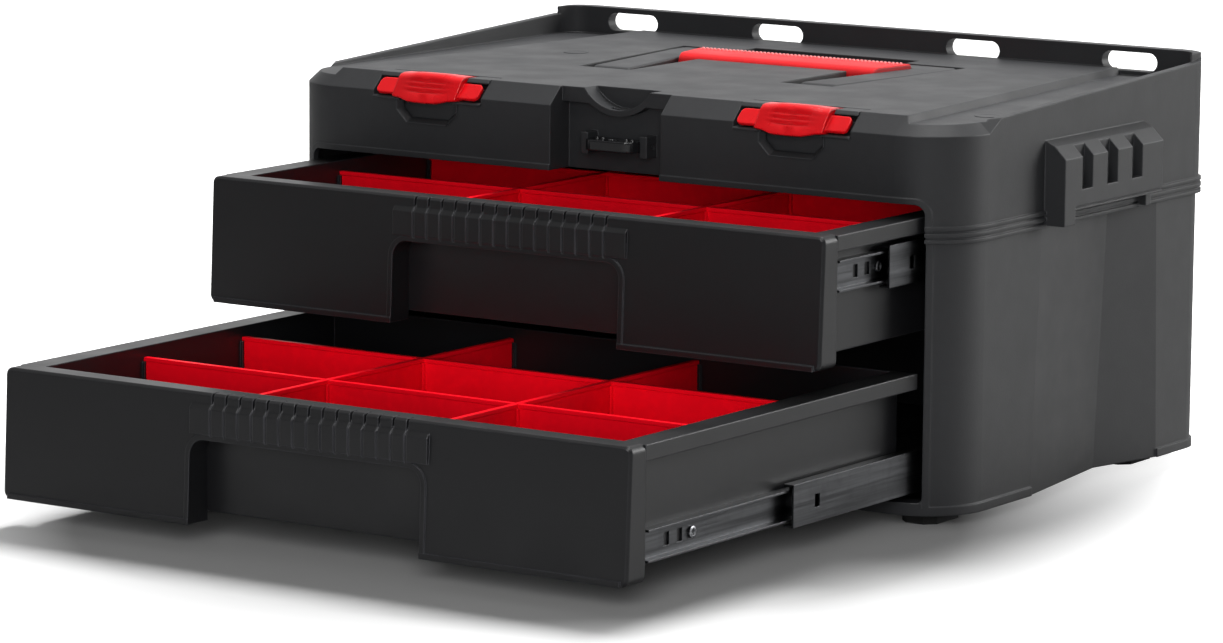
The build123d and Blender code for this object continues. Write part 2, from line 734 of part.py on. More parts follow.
with BuildPart() as handle_frame:
    with BuildSketch(Plane.XY.offset(handle_bottom_z)):
        with BuildLine():
            Polyline(
                (arm_inner_x, handle_axis_y),
                (arm_outer_x, handle_axis_y),
                (bar_outer_x, bar_rear_y),
                (-bar_outer_x, bar_rear_y),
                (-arm_outer_x, handle_axis_y),
                (-arm_inner_x, handle_axis_y),
                (-arm_rear_inner_x, bar_front_y),
                (arm_rear_inner_x, bar_front_y),
                close=True,
            )
        make_face()
    extrude(amount=handle_thickness)
    chamfer(handle_frame.edges().filter_by(Axis.Z).group_by(Axis.Y)[-1], 2 * handle_edge)
    for side in (-1, 1):
        rod(handle_thickness / 2, side * arm_inner_x, side * arm_outer_x, handle_axis_y, handle_axis_z)
    rod(handle_pin_radius + running_clearance, -reach, reach, handle_axis_y, handle_axis_z, mode=Mode.SUBTRACT)
save(handle_frame.part, "handle_frame")

with BuildPart() as handle_grip:
    with BuildSketch(Plane.XY.offset(handle_bottom_z - grip_bulge)):
        with BuildLine():
            Polyline(
                (-grip_front_x, grip_front_y),
                (grip_front_x, grip_front_y),
                (grip_rear_x, bar_front_y),
                (-grip_rear_x, bar_front_y),
                close=True,
            )
        make_face()
    extrude(amount=handle_top_z - grip_drop - handle_bottom_z + grip_bulge)
    fillet(handle_grip.edges().filter_by(Axis.X).group_by(Axis.Y)[0], grip_edge)
save(handle_grip.part, "handle_grip")

for name, side in (("left", -1), ("right", 1)):
    with BuildPart() as handle_pin:
        rod(handle_pin_radius, side * lug_inner_x, side * pin_outer_x, handle_axis_y, handle_axis_z)
    save(handle_pin.part, f"{name}_handle_pin")


# ---------------------------------------------------------------- drawers
def c_channel(label, side, web_x, lip_start, lip_end, centre_z, height, start_y, slots):
    """One member of a slide: a thin web with a lip along its top and bottom, and slots in the web."""
    with BuildPart() as member:
        block(side * web_x, side * (web_x + slide_metal), start_y, start_y + slide_length,
              centre_z - height / 2, centre_z + height / 2)
        for level in (-1, 1):
            edge = centre_z + level * height / 2
            block(side * lip_start, side * lip_end, start_y, start_y + slide_length,
                  edge, edge - level * slide_metal)
        for slot in slots:
            block(side * (web_x - slide_metal), side * (web_x + 2 * slide_metal), start_y + slot,
                  start_y + slot + slide_slot_width, centre_z - slide_slot_height / 2,
                  centre_z + slide_slot_height / 2, mode=Mode.SUBTRACT)
    save(member.part, label)


def slide_set(drawer, opened, centre_z):
    """Both slides of a drawer: a rail on the cabinet, a middle member and a rail on the drawer."""
    outer_web = rib_face_x - slide_metal
    mid_web = outer_web - slide_member_gap - slide_metal
    inner_web = tray_half_width
    mid_y = slide_front_y - slide_mid_ratio * opened
    drawer_y = slide_front_y - opened
    outer_gap = (slide_outer_height - slide_mid_height) / 2 - slide_metal
    inner_gap = (slide_mid_height - slide_inner_height) / 2 - slide_metal
    for name, side in (("left", -1), ("right", 1)):
        c_channel(f"{drawer}_{name}_cabinet_rail", side, outer_web, outer_web - slide_outer_lip, rib_face_x,
                  centre_z, slide_outer_height, slide_front_y, [])
        c_channel(f"{drawer}_{name}_middle_rail", side, mid_web, mid_web - slide_mid_lip, mid_web + slide_metal,
                  centre_z, slide_mid_height, mid_y, [slide_slot_first])
        c_channel(f"{drawer}_{name}_drawer_rail", side, inner_web, inner_web, inner_web + slide_inner_lip,
                  centre_z, slide_inner_height, drawer_y, [slide_slot_first, slide_slot_second])
        rear_start = mid_y + slide_length - cage_inset - cage_length
        front_start = mid_y + cage_inset
        with BuildPart() as cages:
            for level in (-1, 1):
                low = centre_z + level * (slide_mid_height + cage_clearance) / 2
                high = centre_z + level * (slide_mid_height / 2 + outer_gap - cage_clearance)
                block(side * (mid_web - cage_width), side * mid_web, rear_start,
                      rear_start + cage_length, low, high)
                low = centre_z + level * (slide_inner_height / 2 + cage_clearance)
                high = centre_z + level * (slide_inner_height / 2 + inner_gap - cage_clearance / 2)
                block(side * (mid_web - slide_mid_lip), side * (mid_web - slide_metal), front_start,
                      front_start + cage_length, low, high)
        save(cages.part, f"{drawer}_{name}_ball_cages")


def lean_profile(face_y, bottom_z):
    """Everything ahead of a drawer front, whose face leans forward from its top to its bottom edge."""
    top = bottom_z + panel_height
    step = panel_lean * wall / panel_height
    return side_profile(
        -reach / 2,
        (face_y - panel_lean - step, bottom_z - wall),
        (face_y + step, top + wall),
        (face_y - panel_depth, top + wall),
        (face_y - panel_depth, bottom_z - wall),
    )


def panel(drawer, bottom_z, opened):
    """Drawer front: a rimmed cover with a hand cut-out and a sloping, grooved grip bar along its top."""
    face_y = front_y - opened
    top = bottom_z + panel_height
    bar_low = top - grip_bar_height
    slope_low = top - grip_slope_height
    with BuildPart() as front:
        with BuildSketch(Plane.XZ.offset(-face_y + panel_lean)):
            with Locations((0, bottom_z + panel_height / 2)):
                RectangleRounded(panel_width, panel_height, panel_corner_radius)
        extrude(amount=-(panel_depth + panel_lean))
        extrude(lean_profile(face_y, bottom_z), amount=reach, mode=Mode.SUBTRACT)
        chamfer(front.faces().sort_by(Axis.Y)[0].edges(), panel_edge)
        with BuildSketch(Plane.XZ.offset(-face_y - panel_wall)):
            with Locations((0, bottom_z + panel_height / 2)):
                RectangleRounded(panel_width - 2 * panel_wall, panel_height - 2 * panel_wall,
                                 panel_corner_radius / 2)
        extrude(amount=-panel_depth, mode=Mode.SUBTRACT)
        # deep rim round the hand cut-out, a little proud of the panel
        with BuildSketch(Plane.XZ.offset(-face_y + panel_lean + hand_rim_proud)) as rim:
            with Locations((0, bottom_z + (hand_cut_height + panel_wall) / 2)):
                Rectangle(hand_cut_width + 2 * panel_wall, hand_cut_height + panel_wall)
            fillet(rim.vertices().group_by(Axis.Y)[-1], hand_cut_radius + panel_wall)
        extrude(amount=-(panel_depth + panel_lean + hand_rim_proud))
        extrude(lean_profile(face_y - hand_rim_proud, bottom_z), amount=reach, mode=Mode.SUBTRACT)
        # bead along the bottom edge
        block(-panel_width / 2 + panel_corner_radius, panel_width / 2 - panel_corner_radius,
              face_y - panel_lean - panel_lip_proud, face_y + panel_wall, bottom_z, bottom_z + panel_lip_height)
        # the grip bar slopes forward and down from the top edge
        outline = side_profile(
            grip_bar_shift - grip_bar_width / 2,
            (face_y + grip_bar_back, top - panel_wall),
            (face_y + grip_bar_back, top),
            (face_y - grip_bar_proud, slope_low),
            (face_y - grip_bar_proud, bar_low),
            (face_y + panel_edge, bar_low),
        )
        extrude(outline, amount=grip_bar_width)
        for number in range(grip_groove_count):
            groove_x = grip_bar_shift + (number - (grip_groove_count - 1) / 2) * grip_groove_pitch
            outline = side_profile(
                groove_x - grip_groove_width / 2,
                (face_y + grip_bar_back, top + grip_slope_height),
                (face_y + grip_bar_back, top - grip_groove_depth),
                (face_y - grip_bar_proud + grip_groove_depth, slope_low),
                (face_y - grip_bar_proud + grip_groove_depth, bar_low - grip_groove_depth),
                (face_y - 2 * grip_bar_proud, bar_low - grip_groove_depth),
                (face_y - 2 * grip_bar_proud, top + grip_slope_height),
            )
            extrude(outline, amount=grip_groove_width, mode=Mode.SUBTRACT)
        with BuildSketch(Plane.XZ.offset(-face_y + panel_lean + 2 * grip_bar_proud)) as cut:
            with Locations((0, bottom_z + (hand_cut_height - panel_wall) / 2)):
                Rectangle(hand_cut_width, hand_cut_height + panel_wall)
            fillet(cut.vertices().group_by(Axis.Y)[-1], hand_cut_radius)
        extrude(amount=-(panel_depth + panel_lean + 4 * grip_bar_proud), mode=Mode.SUBTRACT)
    save(front.part, f"{drawer}_front")


def tray(drawer, bottom_z, opened):
    """Drawer tray: a thin bin with a hemmed flange along each side and guide ribs for the dividers."""
    start = front_y - opened + panel_depth
    end = rear_y - opened - wall - tray_rear_gap
    low = bottom_z + tray_bottom_offset
    high = bottom_z + panel_height - tray_top_offset
    inner = tray_half_width - tray_wall
    floor = low + tray_floor
    top = high - divider_top_drop
    rib_top = top - divider_bead_height - divider_gap
    slot = divider_thickness / 2 + divider_gap
    with BuildPart() as bin_part:
        block(-tray_half_width, tray_half_width, start, end, low, high)
        block(-inner, inner, start + tray_wall, end - tray_wall, floor, high + 1, mode=Mode.SUBTRACT)
        for side in (-1, 1):
            edge_x = side * panel_width / 2
            block(side * tray_half_width, edge_x, start, end, high - flange_thickness, high)
            block(edge_x - side * flange_thickness, edge_x, start, end, high - flange_drop, high)
        # paired guide ribs hold each divider end
        for row in range(1, divider_rows):
            row_y = start + (end - start) * row / divider_rows
            for side in (-1, 1):
                for edge in (-1, 1):
                    block(side * inner, side * (inner - guide_rib), row_y + edge * slot,
                          row_y + edge * (slot + guide_rib), floor, rib_top)
        for column in range(1, divider_columns):
            column_x = inner * (2 * column / divider_columns - 1)
            for wall_y, step in ((start + tray_wall, guide_rib), (end - tray_wall, -guide_rib)):
                for edge in (-1, 1):
                    block(column_x + edge * slot, column_x + edge * (slot + guide_rib), wall_y, wall_y + step,
                          floor, rib_top)
    save(bin_part.part, f"{drawer}_tray")
    return start, end, floor, top


def long_divider(label, x, y0, y1, low, top):
    """A divider from front to back, with a bead along its top edge."""
    with BuildPart() as plate:
        block(x - divider_thickness / 2, x + divider_thickness / 2, y0, y1, low, top)
        block(x - divider_bead / 2, x + divider_bead / 2, y0, y1, top - divider_bead_height, top)
    save(plate.part, label)


def cross_divider(label, x0, x1, y, low, top, feet):
    """A short divider from side to side, with a bead, a thin rib and a flange at each long divider."""
    rib_z = low + (top - low) * divider_rib_share
    rib_reach = divider_thickness / 2 + divider_rib
    with BuildPart() as plate:
        block(x0, x1, y - divider_thickness / 2, y + divider_thickness / 2, low, top)
        block(x0, x1, y - divider_bead / 2, y + divider_bead / 2, top - divider_bead_height, top)
        block(x0 + divider_foot, x1 - divider_foot, y - rib_reach, y + rib_reach,
              rib_z, rib_z + 2 * divider_rib)
        for foot_end, inward in feet:
            block(foot_end, foot_end + inward * divider_thickness / 2, y - divider_foot / 2,
                  y + divider_foot / 2, low, top - divider_bead_height)
    save(plate.part, label)


def dividers(drawer, start, end, low, top):
    """Long dividers between the columns and a row of cross dividers at each third."""
    inner = tray_half_width - tray_wall
    column_x = inner / divider_columns
    bead = divider_bead / 2
    for name, x in (("left", -column_x), ("right", column_x)):
        long_divider(f"{drawer}_{name}_long_divider", x, start + tray_wall + divider_gap,
                     end - tray_wall - divider_gap, low, top)
    near = column_x - bead - divider_gap
    far = column_x + bead + divider_gap
    edge = inner - divider_gap
    spans = {
        "left": (-edge, -far, [(-far, -1)]),
        "centre": (-near, near, [(-near, 1), (near, -1)]),
        "right": (far, edge, [(far, 1)]),
    }
    for row, place in ((1, "near"), (2, "far")):
        row_y = start + (end - start) * row / divider_rows
        for name, (x0, x1, feet) in spans.items():
            cross_divider(f"{drawer}_{place}_{name}_divider", x0, x1, row_y, low, top, feet)


drawer_places = {
    "upper": (upper_open, upper_panel_z, upper_panel_z + upper_slide_offset),
    "lower": (lower_open, lower_panel_z, lower_panel_z + lower_slide_offset),
}
for drawer, (opened, bottom_z, centre_z) in drawer_places.items():
    panel(drawer, bottom_z, opened)
    dividers(drawer, *tray(drawer, bottom_z, opened))
    slide_set(drawer, opened, centre_z)
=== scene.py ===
"""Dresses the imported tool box: moulded finishes, slide details, latches, grip and the stage."""
import math

import bmesh
import bpy
from mathutils import Matrix, Vector


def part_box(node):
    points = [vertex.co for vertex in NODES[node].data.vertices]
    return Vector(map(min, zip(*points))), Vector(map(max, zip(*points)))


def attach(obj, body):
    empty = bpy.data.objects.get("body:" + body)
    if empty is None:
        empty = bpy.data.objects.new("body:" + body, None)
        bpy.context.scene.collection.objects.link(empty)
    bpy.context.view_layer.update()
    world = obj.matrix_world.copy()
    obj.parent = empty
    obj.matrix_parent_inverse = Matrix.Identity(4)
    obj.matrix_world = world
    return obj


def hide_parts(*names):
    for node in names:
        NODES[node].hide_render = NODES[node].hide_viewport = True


bl_info = {
    "name": "Stacking Drawer Tool Box",
    "version": (1, 0, 0),
    "blender": (4, 5, 0),
    "location": "3D View > Sidebar > Tool Box",
    "description": "Finishes and moulded details for a stacking tool box with two drawers",
    "category": "Object",
}

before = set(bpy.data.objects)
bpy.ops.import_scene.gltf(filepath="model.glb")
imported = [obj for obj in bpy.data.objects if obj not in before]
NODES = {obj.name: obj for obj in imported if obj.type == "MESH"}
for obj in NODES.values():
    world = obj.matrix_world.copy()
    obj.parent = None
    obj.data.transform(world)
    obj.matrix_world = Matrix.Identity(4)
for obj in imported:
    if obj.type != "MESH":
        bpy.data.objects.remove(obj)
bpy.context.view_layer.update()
MM = 0.001


def mirrored(half):
    """A row of places from its left end to the middle, and on to the right as its mirror image."""
    return (*half, *((-across, *rest) for across, *rest in reversed(half) if across))


# ------------------------------------------------------------------ values
ALONG = 0.9  # a direction with at least this share of an axis runs along it
NEAR = 0.1 * MM  # what lies this close to a face of a box belongs to it
SMOOTH_ANGLE = math.radians(35.0)
LATCH_SMOOTH_ANGLE = math.radians(38.0)
BEVEL_ANGLE = math.radians(30.0)

# finishes: a noise as (scale, detail, roughness), a spread as (low, high, start, end)
CLOUDS = (9.0, 4.0, 0.6)
CLOUD_TONES = (0.92, 1.10)
SPECK_TONE = 1.25
SPECK_SPREAD = (0.0, 0.35, 0.45, 0.75)
SPECK_TO_GRAIN = 6.0
# noise that breaks the lightened edges into patches; the lightening is partly wear and partly a painted
# highlight on the edges
EDGE_BREAKUP = (60.0, 3.0)
EDGE_BREAKUP_SPREAD = (0.55, 1.0)
SMEARS = (35.0, 3.0)
ROLLED_LINES = (1.0, 3.0, 0.6)
ROLLED_TONES = (0.75, 1.3)
ROLLED_DEPTH = 0.03 * MM
PLATE_SPOTS = (90.0, 4.0, 0.65)
PLATE_SPOT_TONE = 0.6
PLATE_SPOT_SPREAD = (0.0, 0.5, 0.5, 0.8)
PLATE_EDGE = 0.4 * MM
# light pink of the grip dots: a painted highlight on the raised dots, lighter than the red grip
DOT_HIGHLIGHT_COLOUR = (0.85, 0.30, 0.30)
GLOSS_COLOUR = (0.008, 0.008, 0.009)
RUBBER_COLOUR = (0.010, 0.010, 0.010)

# handle
ARM_SPLAY_INNER = 15.0 * MM
ARM_SPLAY_OUTER = 12.0 * MM
ARM_PLAY = 0.2 * MM
ARM_END_ROUND = 4.8 * MM
BAR_CORNER_ROUND = 4.0 * MM
FRAME_SOFTNESS = 1.0 * MM
GRIP_TAPER = 0.08
GRIP_TO_DECK = 4.5 * MM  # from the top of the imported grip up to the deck
GRIP_FRONT_ROUND = 6.0 * MM
GRIP_REAR_ROUND = 2.5 * MM
GRIP_SOFTNESS = 0.8 * MM
DOT_MARGIN = 4.0 * MM
DOT_ROWS = ((4.5 * MM, 0.95 * MM), (8.0 * MM, 0.6 * MM))  # distance from the grip's rear edge, radius
DOT_SINK = 1.0 * MM
DOT_CROWN = 0.25 * MM
DOT_CROWN_SHARE = 0.6

# latches, in millimetres from the chamfer's lower edge on the latch's centre line
CHAMFER_LOW = 214.5 * MM  # the height of that edge
CHAMFER_RUN = (0.0, 10.5, 10.0)
# (place across, bulge, groove) of the sections of the latch
LATCH_STATIONS = mirrored((
    (-21.8, 0.0, 0.0), (-20.8, 0.06, 0.0), (-17.0, 0.22, 0.0), (-13.0, 0.62, 0.25), (-9.5, 0.93, 0.8),
    (-5.0, 1.0, 1.0), (0.0, 1.03, 1.0)))
# corners of a section as (back, up), each with what the bulge adds to it
LATCH_BACK = (((19.6, 4.5), (0.0, 0.0)), ((20.4, 9.9), (0.0, 0.0)), ((16.0, 10.5), (0.0, 0.4)),
              ((9.6, 10.6), (0.0, 1.1)), ((6.2, 10.0), (-0.6, 1.6)))
LATCH_TOP = ((4.2, 8.4), (-1.0, 1.7))
LATCH_FOOT = ((-2.6, -1.5), (-2.8, -2.4))
LATCH_UNDER = (((-1.7, -2.3), (-2.0, -2.4)), ((4.3, -2.7), (0.0, 0.0)), ((15.2, 3.7), (0.0, 0.0)))
# where the grooves start on the way from top to foot, and the (way further, depth) of their corners
GROOVE_STARTS = (0.12, 0.32, 0.52)
GROOVE_CORNERS = ((0.0, 0.0), (0.07, 1.0), (0.14, 0.0))
GROOVE_DEPTH = (0.72, -0.45)
# (distance from the centre line, share of the corner radius that is lost at both edges) of a tab
FLAP_STATIONS = ((19.0, 0.0), (32.3, 0.0), (33.3, 0.06), (34.3, 0.25), (35.0, 0.57), (35.3, 1.0))
FLAP_LOW, FLAP_HIGH = -0.3, 10.4
FLAP_RADIUS = 3.0
FLAP_THICKNESS = 2.0
STRIP_ACROSS = (22.6, 37.4)
STRIP_RING = ((8.4, 8.0), (10.5, 10.0), (21.2, 10.0), (21.2, 8.9), (11.0, 8.9), (9.4, 7.4))
LEDGE_ACROSS = (19.0, 37.4)
LEDGE_RING = ((0.0, -4.2), (0.0, -3.2), (0.8, -2.5), (4.2, -2.5), (4.6, -4.2))
# (across, up) of the rim's outer and inner edge, and how far back its outer edge, inner edge and rear lie
RIM_OUTER = mirrored(((-21.0, -4.0), (-21.0, -10.0), (-14.0, -17.0)))
RIM_INNER = mirrored(((-18.2, -4.0), (-18.2, -8.8), (-12.8, -14.2)))
RIM_FRONT, RIM_FLOOR, RIM_REAR = 0.15, 4.6, 5.2

# lock tab
TAB_AXIS_SETBACK = 3.75 * MM
TAB_TAIL = 3.0 * MM
TAB_SKIN = 0.75 * MM
TAB_CORNER_ROUND = 8.0 * MM
TAB_SOFTNESS = 0.9 * MM
EYE_RADIUS = 4.0 * MM
EYE_SETBACK = 8.5 * MM
EYE_CUT = 20.0 * MM
STUD_PLACES = (-11.5 * MM, -7.5 * MM, 8.0 * MM, 12.0 * MM)
STUD_SETBACK = 5.0 * MM
STUD_RADIUS = 1.4 * MM
STUD_HEIGHT = 1.2 * MM
STUD_CROWN = 0.5 * MM
STUD_CROWN_SHARE = 0.5

# slides and deck
RAIL_METAL = 1.2 * MM
SCREW_INSET = 46.0 * MM
HEAD_CROWN_SHARE = 0.72
HEAD_CROWN = 0.25
CROSS_REACH = 0.52
CROSS_HALF = 0.28 * MM
CROSS_FLOOR = 0.45
DECK_MARKS = ((-0.128, 0.150, 0.0125), (0.208, 0.055, 0.0165))  # x, y and depth below the rim, in metres
MARK_HEIGHT = 1.2 * MM
MARK_SINK = 0.35 * MM
MARK_RING = 0.9 * MM
MARK_SLOPE = 1.2 * MM
MARK_DISH = 0.3 * MM

# studio
SENSOR = 36.0
VIEW_END = 100.0
LIGHT_AIM = Vector((0.0, 0.0, 0.1))
# name, place, size, power, and whether it is seen in gloss or else lights what is matt
LAMPS = (
    ("overhead_softbox", (0.1, 0.3, 2.6), 1.4, 30.0, True),
    ("right_softbox", (1.9, 1.9, 1.0), 1.3, 42.0, True),
    ("front_strip", (0.4, -1.7, 2.4), 0.6, 30.0, True),
    ("rear_key", (-0.4, 1.2, 2.5), 1.0, 150.0, False),
    ("front_fill", (1.45, -2.5, 0.80), 1.2, 60.0, False),
)
SKY_SOFT = (0.0, 0.9, 0.06, 0.12)  # height from and to, strength from and to
SKY_SHINE = (-0.6, 0.9, 0.10, 1.00)  # the same towards the back, for gloss
PAPER_BOUNCE = (0.35, 0.35, 0.35)
PAPER_SEEN = (0.52, 0.52, 0.52)
PAPER_MIDDLE = (0.02, -0.12, 0.0)
PAPER_LIFT = (0.0, 1.0, 0.24, 0.44)  # lift from and to, distance from its middle from and to


# ------------------------------------------------------------------ settings
class ToolBoxFinish(bpy.types.PropertyGroup):
    """Colours and surface sizes of the finishes."""

    charcoal: bpy.props.FloatVectorProperty(
        name="Charcoal shell", description="Colour of the moulded body and top shell",
        subtype="COLOR", size=3, min=0.0, max=1.0, default=(0.0170, 0.0175, 0.0190))
    black: bpy.props.FloatVectorProperty(
        name="Drawer black", description="Colour of the drawer fronts and trays",
        subtype="COLOR", size=3, min=0.0, max=1.0, default=(0.0070, 0.0071, 0.0080))
    red: bpy.props.FloatVectorProperty(
        name="Latch red", description="Colour of the latches and the handle grip",
        subtype="COLOR", size=3, min=0.0, max=1.0, default=(0.58, 0.0024, 0.0060))
    divider_red: bpy.props.FloatVectorProperty(
        name="Divider red", description="Colour of the loose drawer dividers",
        subtype="COLOR", size=3, min=0.0, max=1.0, default=(0.76, 0.0014, 0.0095))
    steel: bpy.props.FloatVectorProperty(
        name="Slide steel", description="Colour of the dark plated slides",
        subtype="COLOR", size=3, min=0.0, max=1.0, default=(0.105, 0.107, 0.112))
    grain: bpy.props.FloatProperty(
        name="Grain", description="Size of the moulding grain on the plastic",
        subtype="DISTANCE", unit="LENGTH", min=0.0001, max=0.01, default=0.0009)
    edge: bpy.props.FloatProperty(
        name="Edge radius", description="Softness of the moulded edges",
        subtype="DISTANCE", unit="LENGTH", min=0.0, max=0.005, default=0.0011)


class ToolBoxParts(bpy.types.PropertyGroup):
    """Sizes of the small moulded and metal pieces."""

    grip_rise: bpy.props.FloatProperty(
        name="Grip rise", description="How far the red grip stands above the deck",
        subtype="DISTANCE", unit="LENGTH", min=0.0, max=0.01, default=0.0024)
    grip_dots: bpy.props.IntProperty(
        name="Grip dots", description="Number of raised dots along the grip", min=2, max=90, default=52)
    frame_rise: bpy.props.FloatProperty(
        name="Frame rise", description="How far the handle frame stands above its packed height",
        subtype="DISTANCE", unit="LENGTH", min=0.0, max=0.004, default=0.0028)
    screw_radius: bpy.props.FloatProperty(
        name="Screw radius", description="Radius of the pan heads on the slides",
        subtype="DISTANCE", unit="LENGTH", min=0.001, max=0.005, default=0.0032)
    screw_height: bpy.props.FloatProperty(
        name="Screw height", description="Height of the pan heads on the slides",
        subtype="DISTANCE", unit="LENGTH", min=0.0005, max=0.003, default=0.0014)
    mark_radius: bpy.props.FloatProperty(
        name="Mark radius", description="Radius of the round moulding marks on the deck",
        subtype="DISTANCE", unit="LENGTH", min=0.002, max=0.02, default=0.0075)


class ToolBoxStage(bpy.types.PropertyGroup):
    """Camera, floor and studio light."""

    azimuth: bpy.props.FloatProperty(
        name="Azimuth", description="How far the camera stands to the right of the front",
        subtype="ANGLE", unit="ROTATION", default=math.radians(33.896))
    elevation: bpy.props.FloatProperty(
        name="Elevation", description="How far the camera looks down",
        subtype="ANGLE", unit="ROTATION", default=math.radians(9.070))
    roll: bpy.props.FloatProperty(
        name="Roll", description="Tilt of the camera round its own line of sight",
        subtype="ANGLE", unit="ROTATION", default=math.radians(0.4582))
    lens: bpy.props.FloatProperty(
        name="Lens", description="Focal length in millimetres on a 36 mm sensor", min=10.0, default=159.30)
    place: bpy.props.FloatVectorProperty(
        name="Camera place", description="Where the camera stands",
        subtype="TRANSLATION", unit="LENGTH", size=3, default=(1.6678, -2.4830, 0.5721))
    floor_size: bpy.props.FloatProperty(
        name="Floor size", description="Side of the floor",
        subtype="DISTANCE", unit="LENGTH", min=1.0, default=30.0)


# ------------------------------------------------------------------ material helpers
class Finish:
    """A procedural material in the making, with short ways to add and join its nodes."""

    def __init__(self, name):
        self.material = bpy.data.materials.new(name)
        self.material.use_nodes = True
        self.nodes = self.material.node_tree.nodes
        self.links = self.material.node_tree.links
        self.shader = self.nodes["Principled BSDF"]
        self.place = self.nodes.new("ShaderNodeTexCoord").outputs["Object"]

    def node(self, kind, inputs=None, **settings):
        made = self.nodes.new(kind)
        for key, value in settings.items():
            setattr(made, key, value)
        for key, value in (inputs or {}).items():
            if isinstance(value, bpy.types.NodeSocket):
                self.links.new(value, made.inputs[key])
            else:
                made.inputs[key].default_value = value
        return made

    def stretched(self, x, y, z):
        """Object coordinates stretched along the axes."""
        return self.node("ShaderNodeMapping", {"Vector": self.place, "Scale": (x, y, z)}).outputs["Vector"]

    def noise(self, vector, scale, detail=3.0, roughness=0.5):
        return self.node("ShaderNodeTexNoise", {
            "Vector": vector, "Scale": scale, "Detail": detail, "Roughness": roughness}).outputs["Fac"]

    def spread(self, value, low, high, start=0.3, end=0.7):
        """The value between start and end, mapped on the range from low to high."""
        return self.node("ShaderNodeMapRange", {
            "Value": value, "From Min": start, "From Max": end,
            "To Min": low, "To Max": high}).outputs["Result"]

    def blend(self, share, first, second):
        made = self.node("ShaderNodeMix", data_type="RGBA")
        for socket, value in ((made.inputs[0], share), (made.inputs[6], first), (made.inputs[7], second)):
            if isinstance(value, bpy.types.NodeSocket):
                self.links.new(value, socket)
            else:
                socket.default_value = value if isinstance(value, float) else (*value[:3], 1.0)
        return made.outputs[2]

    def join(self, output, name):
        self.links.new(output, self.shader.inputs[name])

    def soft_edges(self, radius):
        """The surface normal, rounded over the edges."""
        return self.node("ShaderNodeBevel", {"Radius": radius}, samples=6).outputs["Normal"]

    def edge_share(self, rounded, start=0.02, end=0.30):
        """One on the edges of a piece and none on its flats."""
        flat = self.node("ShaderNodeNewGeometry").outputs["True Normal"]
        likeness = self.node("ShaderNodeVectorMath", {0: rounded, 1: flat}, operation="DOT_PRODUCT")
        return self.spread(likeness.outputs["Value"], 1.0, 0.0, 1.0 - end, 1.0 - start)

    def bumped(self, height, distance, normal, strength=1.0):
        return self.node("ShaderNodeBump", {
            "Height": height, "Distance": distance, "Strength": strength, "Normal": normal}).outputs["Normal"]


def tinted(colour, share):
    return tuple(min(1.0, c * share) for c in colour)


def moulded_plastic(name, colour, grain, edge, rough=(0.42, 0.52), depth=0.06 * MM, wear_and_highlight=1.6, level=0.5,
                    sheen=0.0):
    """Injection-moulded plastic: spark-eroded grain, cloudy tone, edges lightened in patches, partly as wear
    and partly as a painted highlight.
    """
    finish = Finish(name)
    clouds = finish.noise(finish.place, *CLOUDS)
    specks = finish.noise(finish.place, 1.0 / (grain * SPECK_TO_GRAIN), 2.0)
    tone = finish.blend(finish.spread(clouds, 0.0, 1.0), *(tinted(colour, share) for share in CLOUD_TONES))
    tone = finish.blend(finish.spread(specks, *SPECK_SPREAD), tone, tinted(colour, SPECK_TONE))
    rounded = finish.soft_edges(edge)
    # the edges are lightened in patches: partly wear, partly a painted highlight standing in for the light
    # lines that the edges catch
    edge_breakup = finish.spread(finish.noise(finish.place, *EDGE_BREAKUP), *EDGE_BREAKUP_SPREAD)
    edge_wear_and_highlight = finish.node("ShaderNodeMath", {0: finish.edge_share(rounded), 1: edge_breakup}, operation="MULTIPLY")
    finish.join(finish.blend(edge_wear_and_highlight.outputs["Value"], tone, tinted(colour, wear_and_highlight)), "Base Color")
    finish.join(finish.spread(finish.noise(finish.place, *SMEARS), *rough), "Roughness")
    pits = finish.noise(finish.place, 1.0 / grain, 2.0, 0.6)
    finish.join(finish.bumped(pits, depth, rounded), "Normal")
    finish.shader.inputs["Specular IOR Level"].default_value = level
    finish.shader.inputs["Sheen Weight"].default_value = sheen
    return finish.material


def plated_steel(name, colour, rough, run):
    """Dark plated steel, rolled along run."""
    finish = Finish(name)
    lines = finish.noise(finish.stretched(*run), *ROLLED_LINES)
    spots = finish.noise(finish.place, *PLATE_SPOTS)
    tone = finish.blend(finish.spread(lines, 0.0, 1.0), *(tinted(colour, share) for share in ROLLED_TONES))
    tone = finish.blend(finish.spread(spots, *PLATE_SPOT_SPREAD), tone, tinted(colour, PLATE_SPOT_TONE))
    finish.join(tone, "Base Color")
    finish.join(finish.spread(lines, *rough), "Roughness")
    finish.join(finish.bumped(lines, ROLLED_DEPTH, finish.soft_edges(PLATE_EDGE)), "Normal")
    finish.shader.inputs["Metallic"].default_value = 1.0
    return finish.material


FINISHES = {}  # filled by the first operator
# the finish of each node of the model, by the end of its name
NODE_FINISHES = (
    ("lower_body", "shell"), ("top_shell", "shell"), ("_foot", "rubber"), ("_front", "front"),
    ("_tray", "tray"), ("_divider", "divider"), ("_rail", "slide"), ("_cages", "cage"), ("_pin", "pin"),
    ("_latch", "latch"), ("lock_tab", "gloss"), ("handle_frame", "handle"), ("handle_grip", "grip"))


def finish_for(node):
    """The finish that a node of the model takes."""
    return next(FINISHES[finish] for ending, finish in NODE_FINISHES if node.endswith(ending))


# ------------------------------------------------------------------ modelling helpers
def all_clear():
    """Object mode with nothing selected."""
    if bpy.context.mode != "OBJECT":
        bpy.ops.object.mode_set(mode="OBJECT")
    bpy.ops.object.select_all(action="DESELECT")


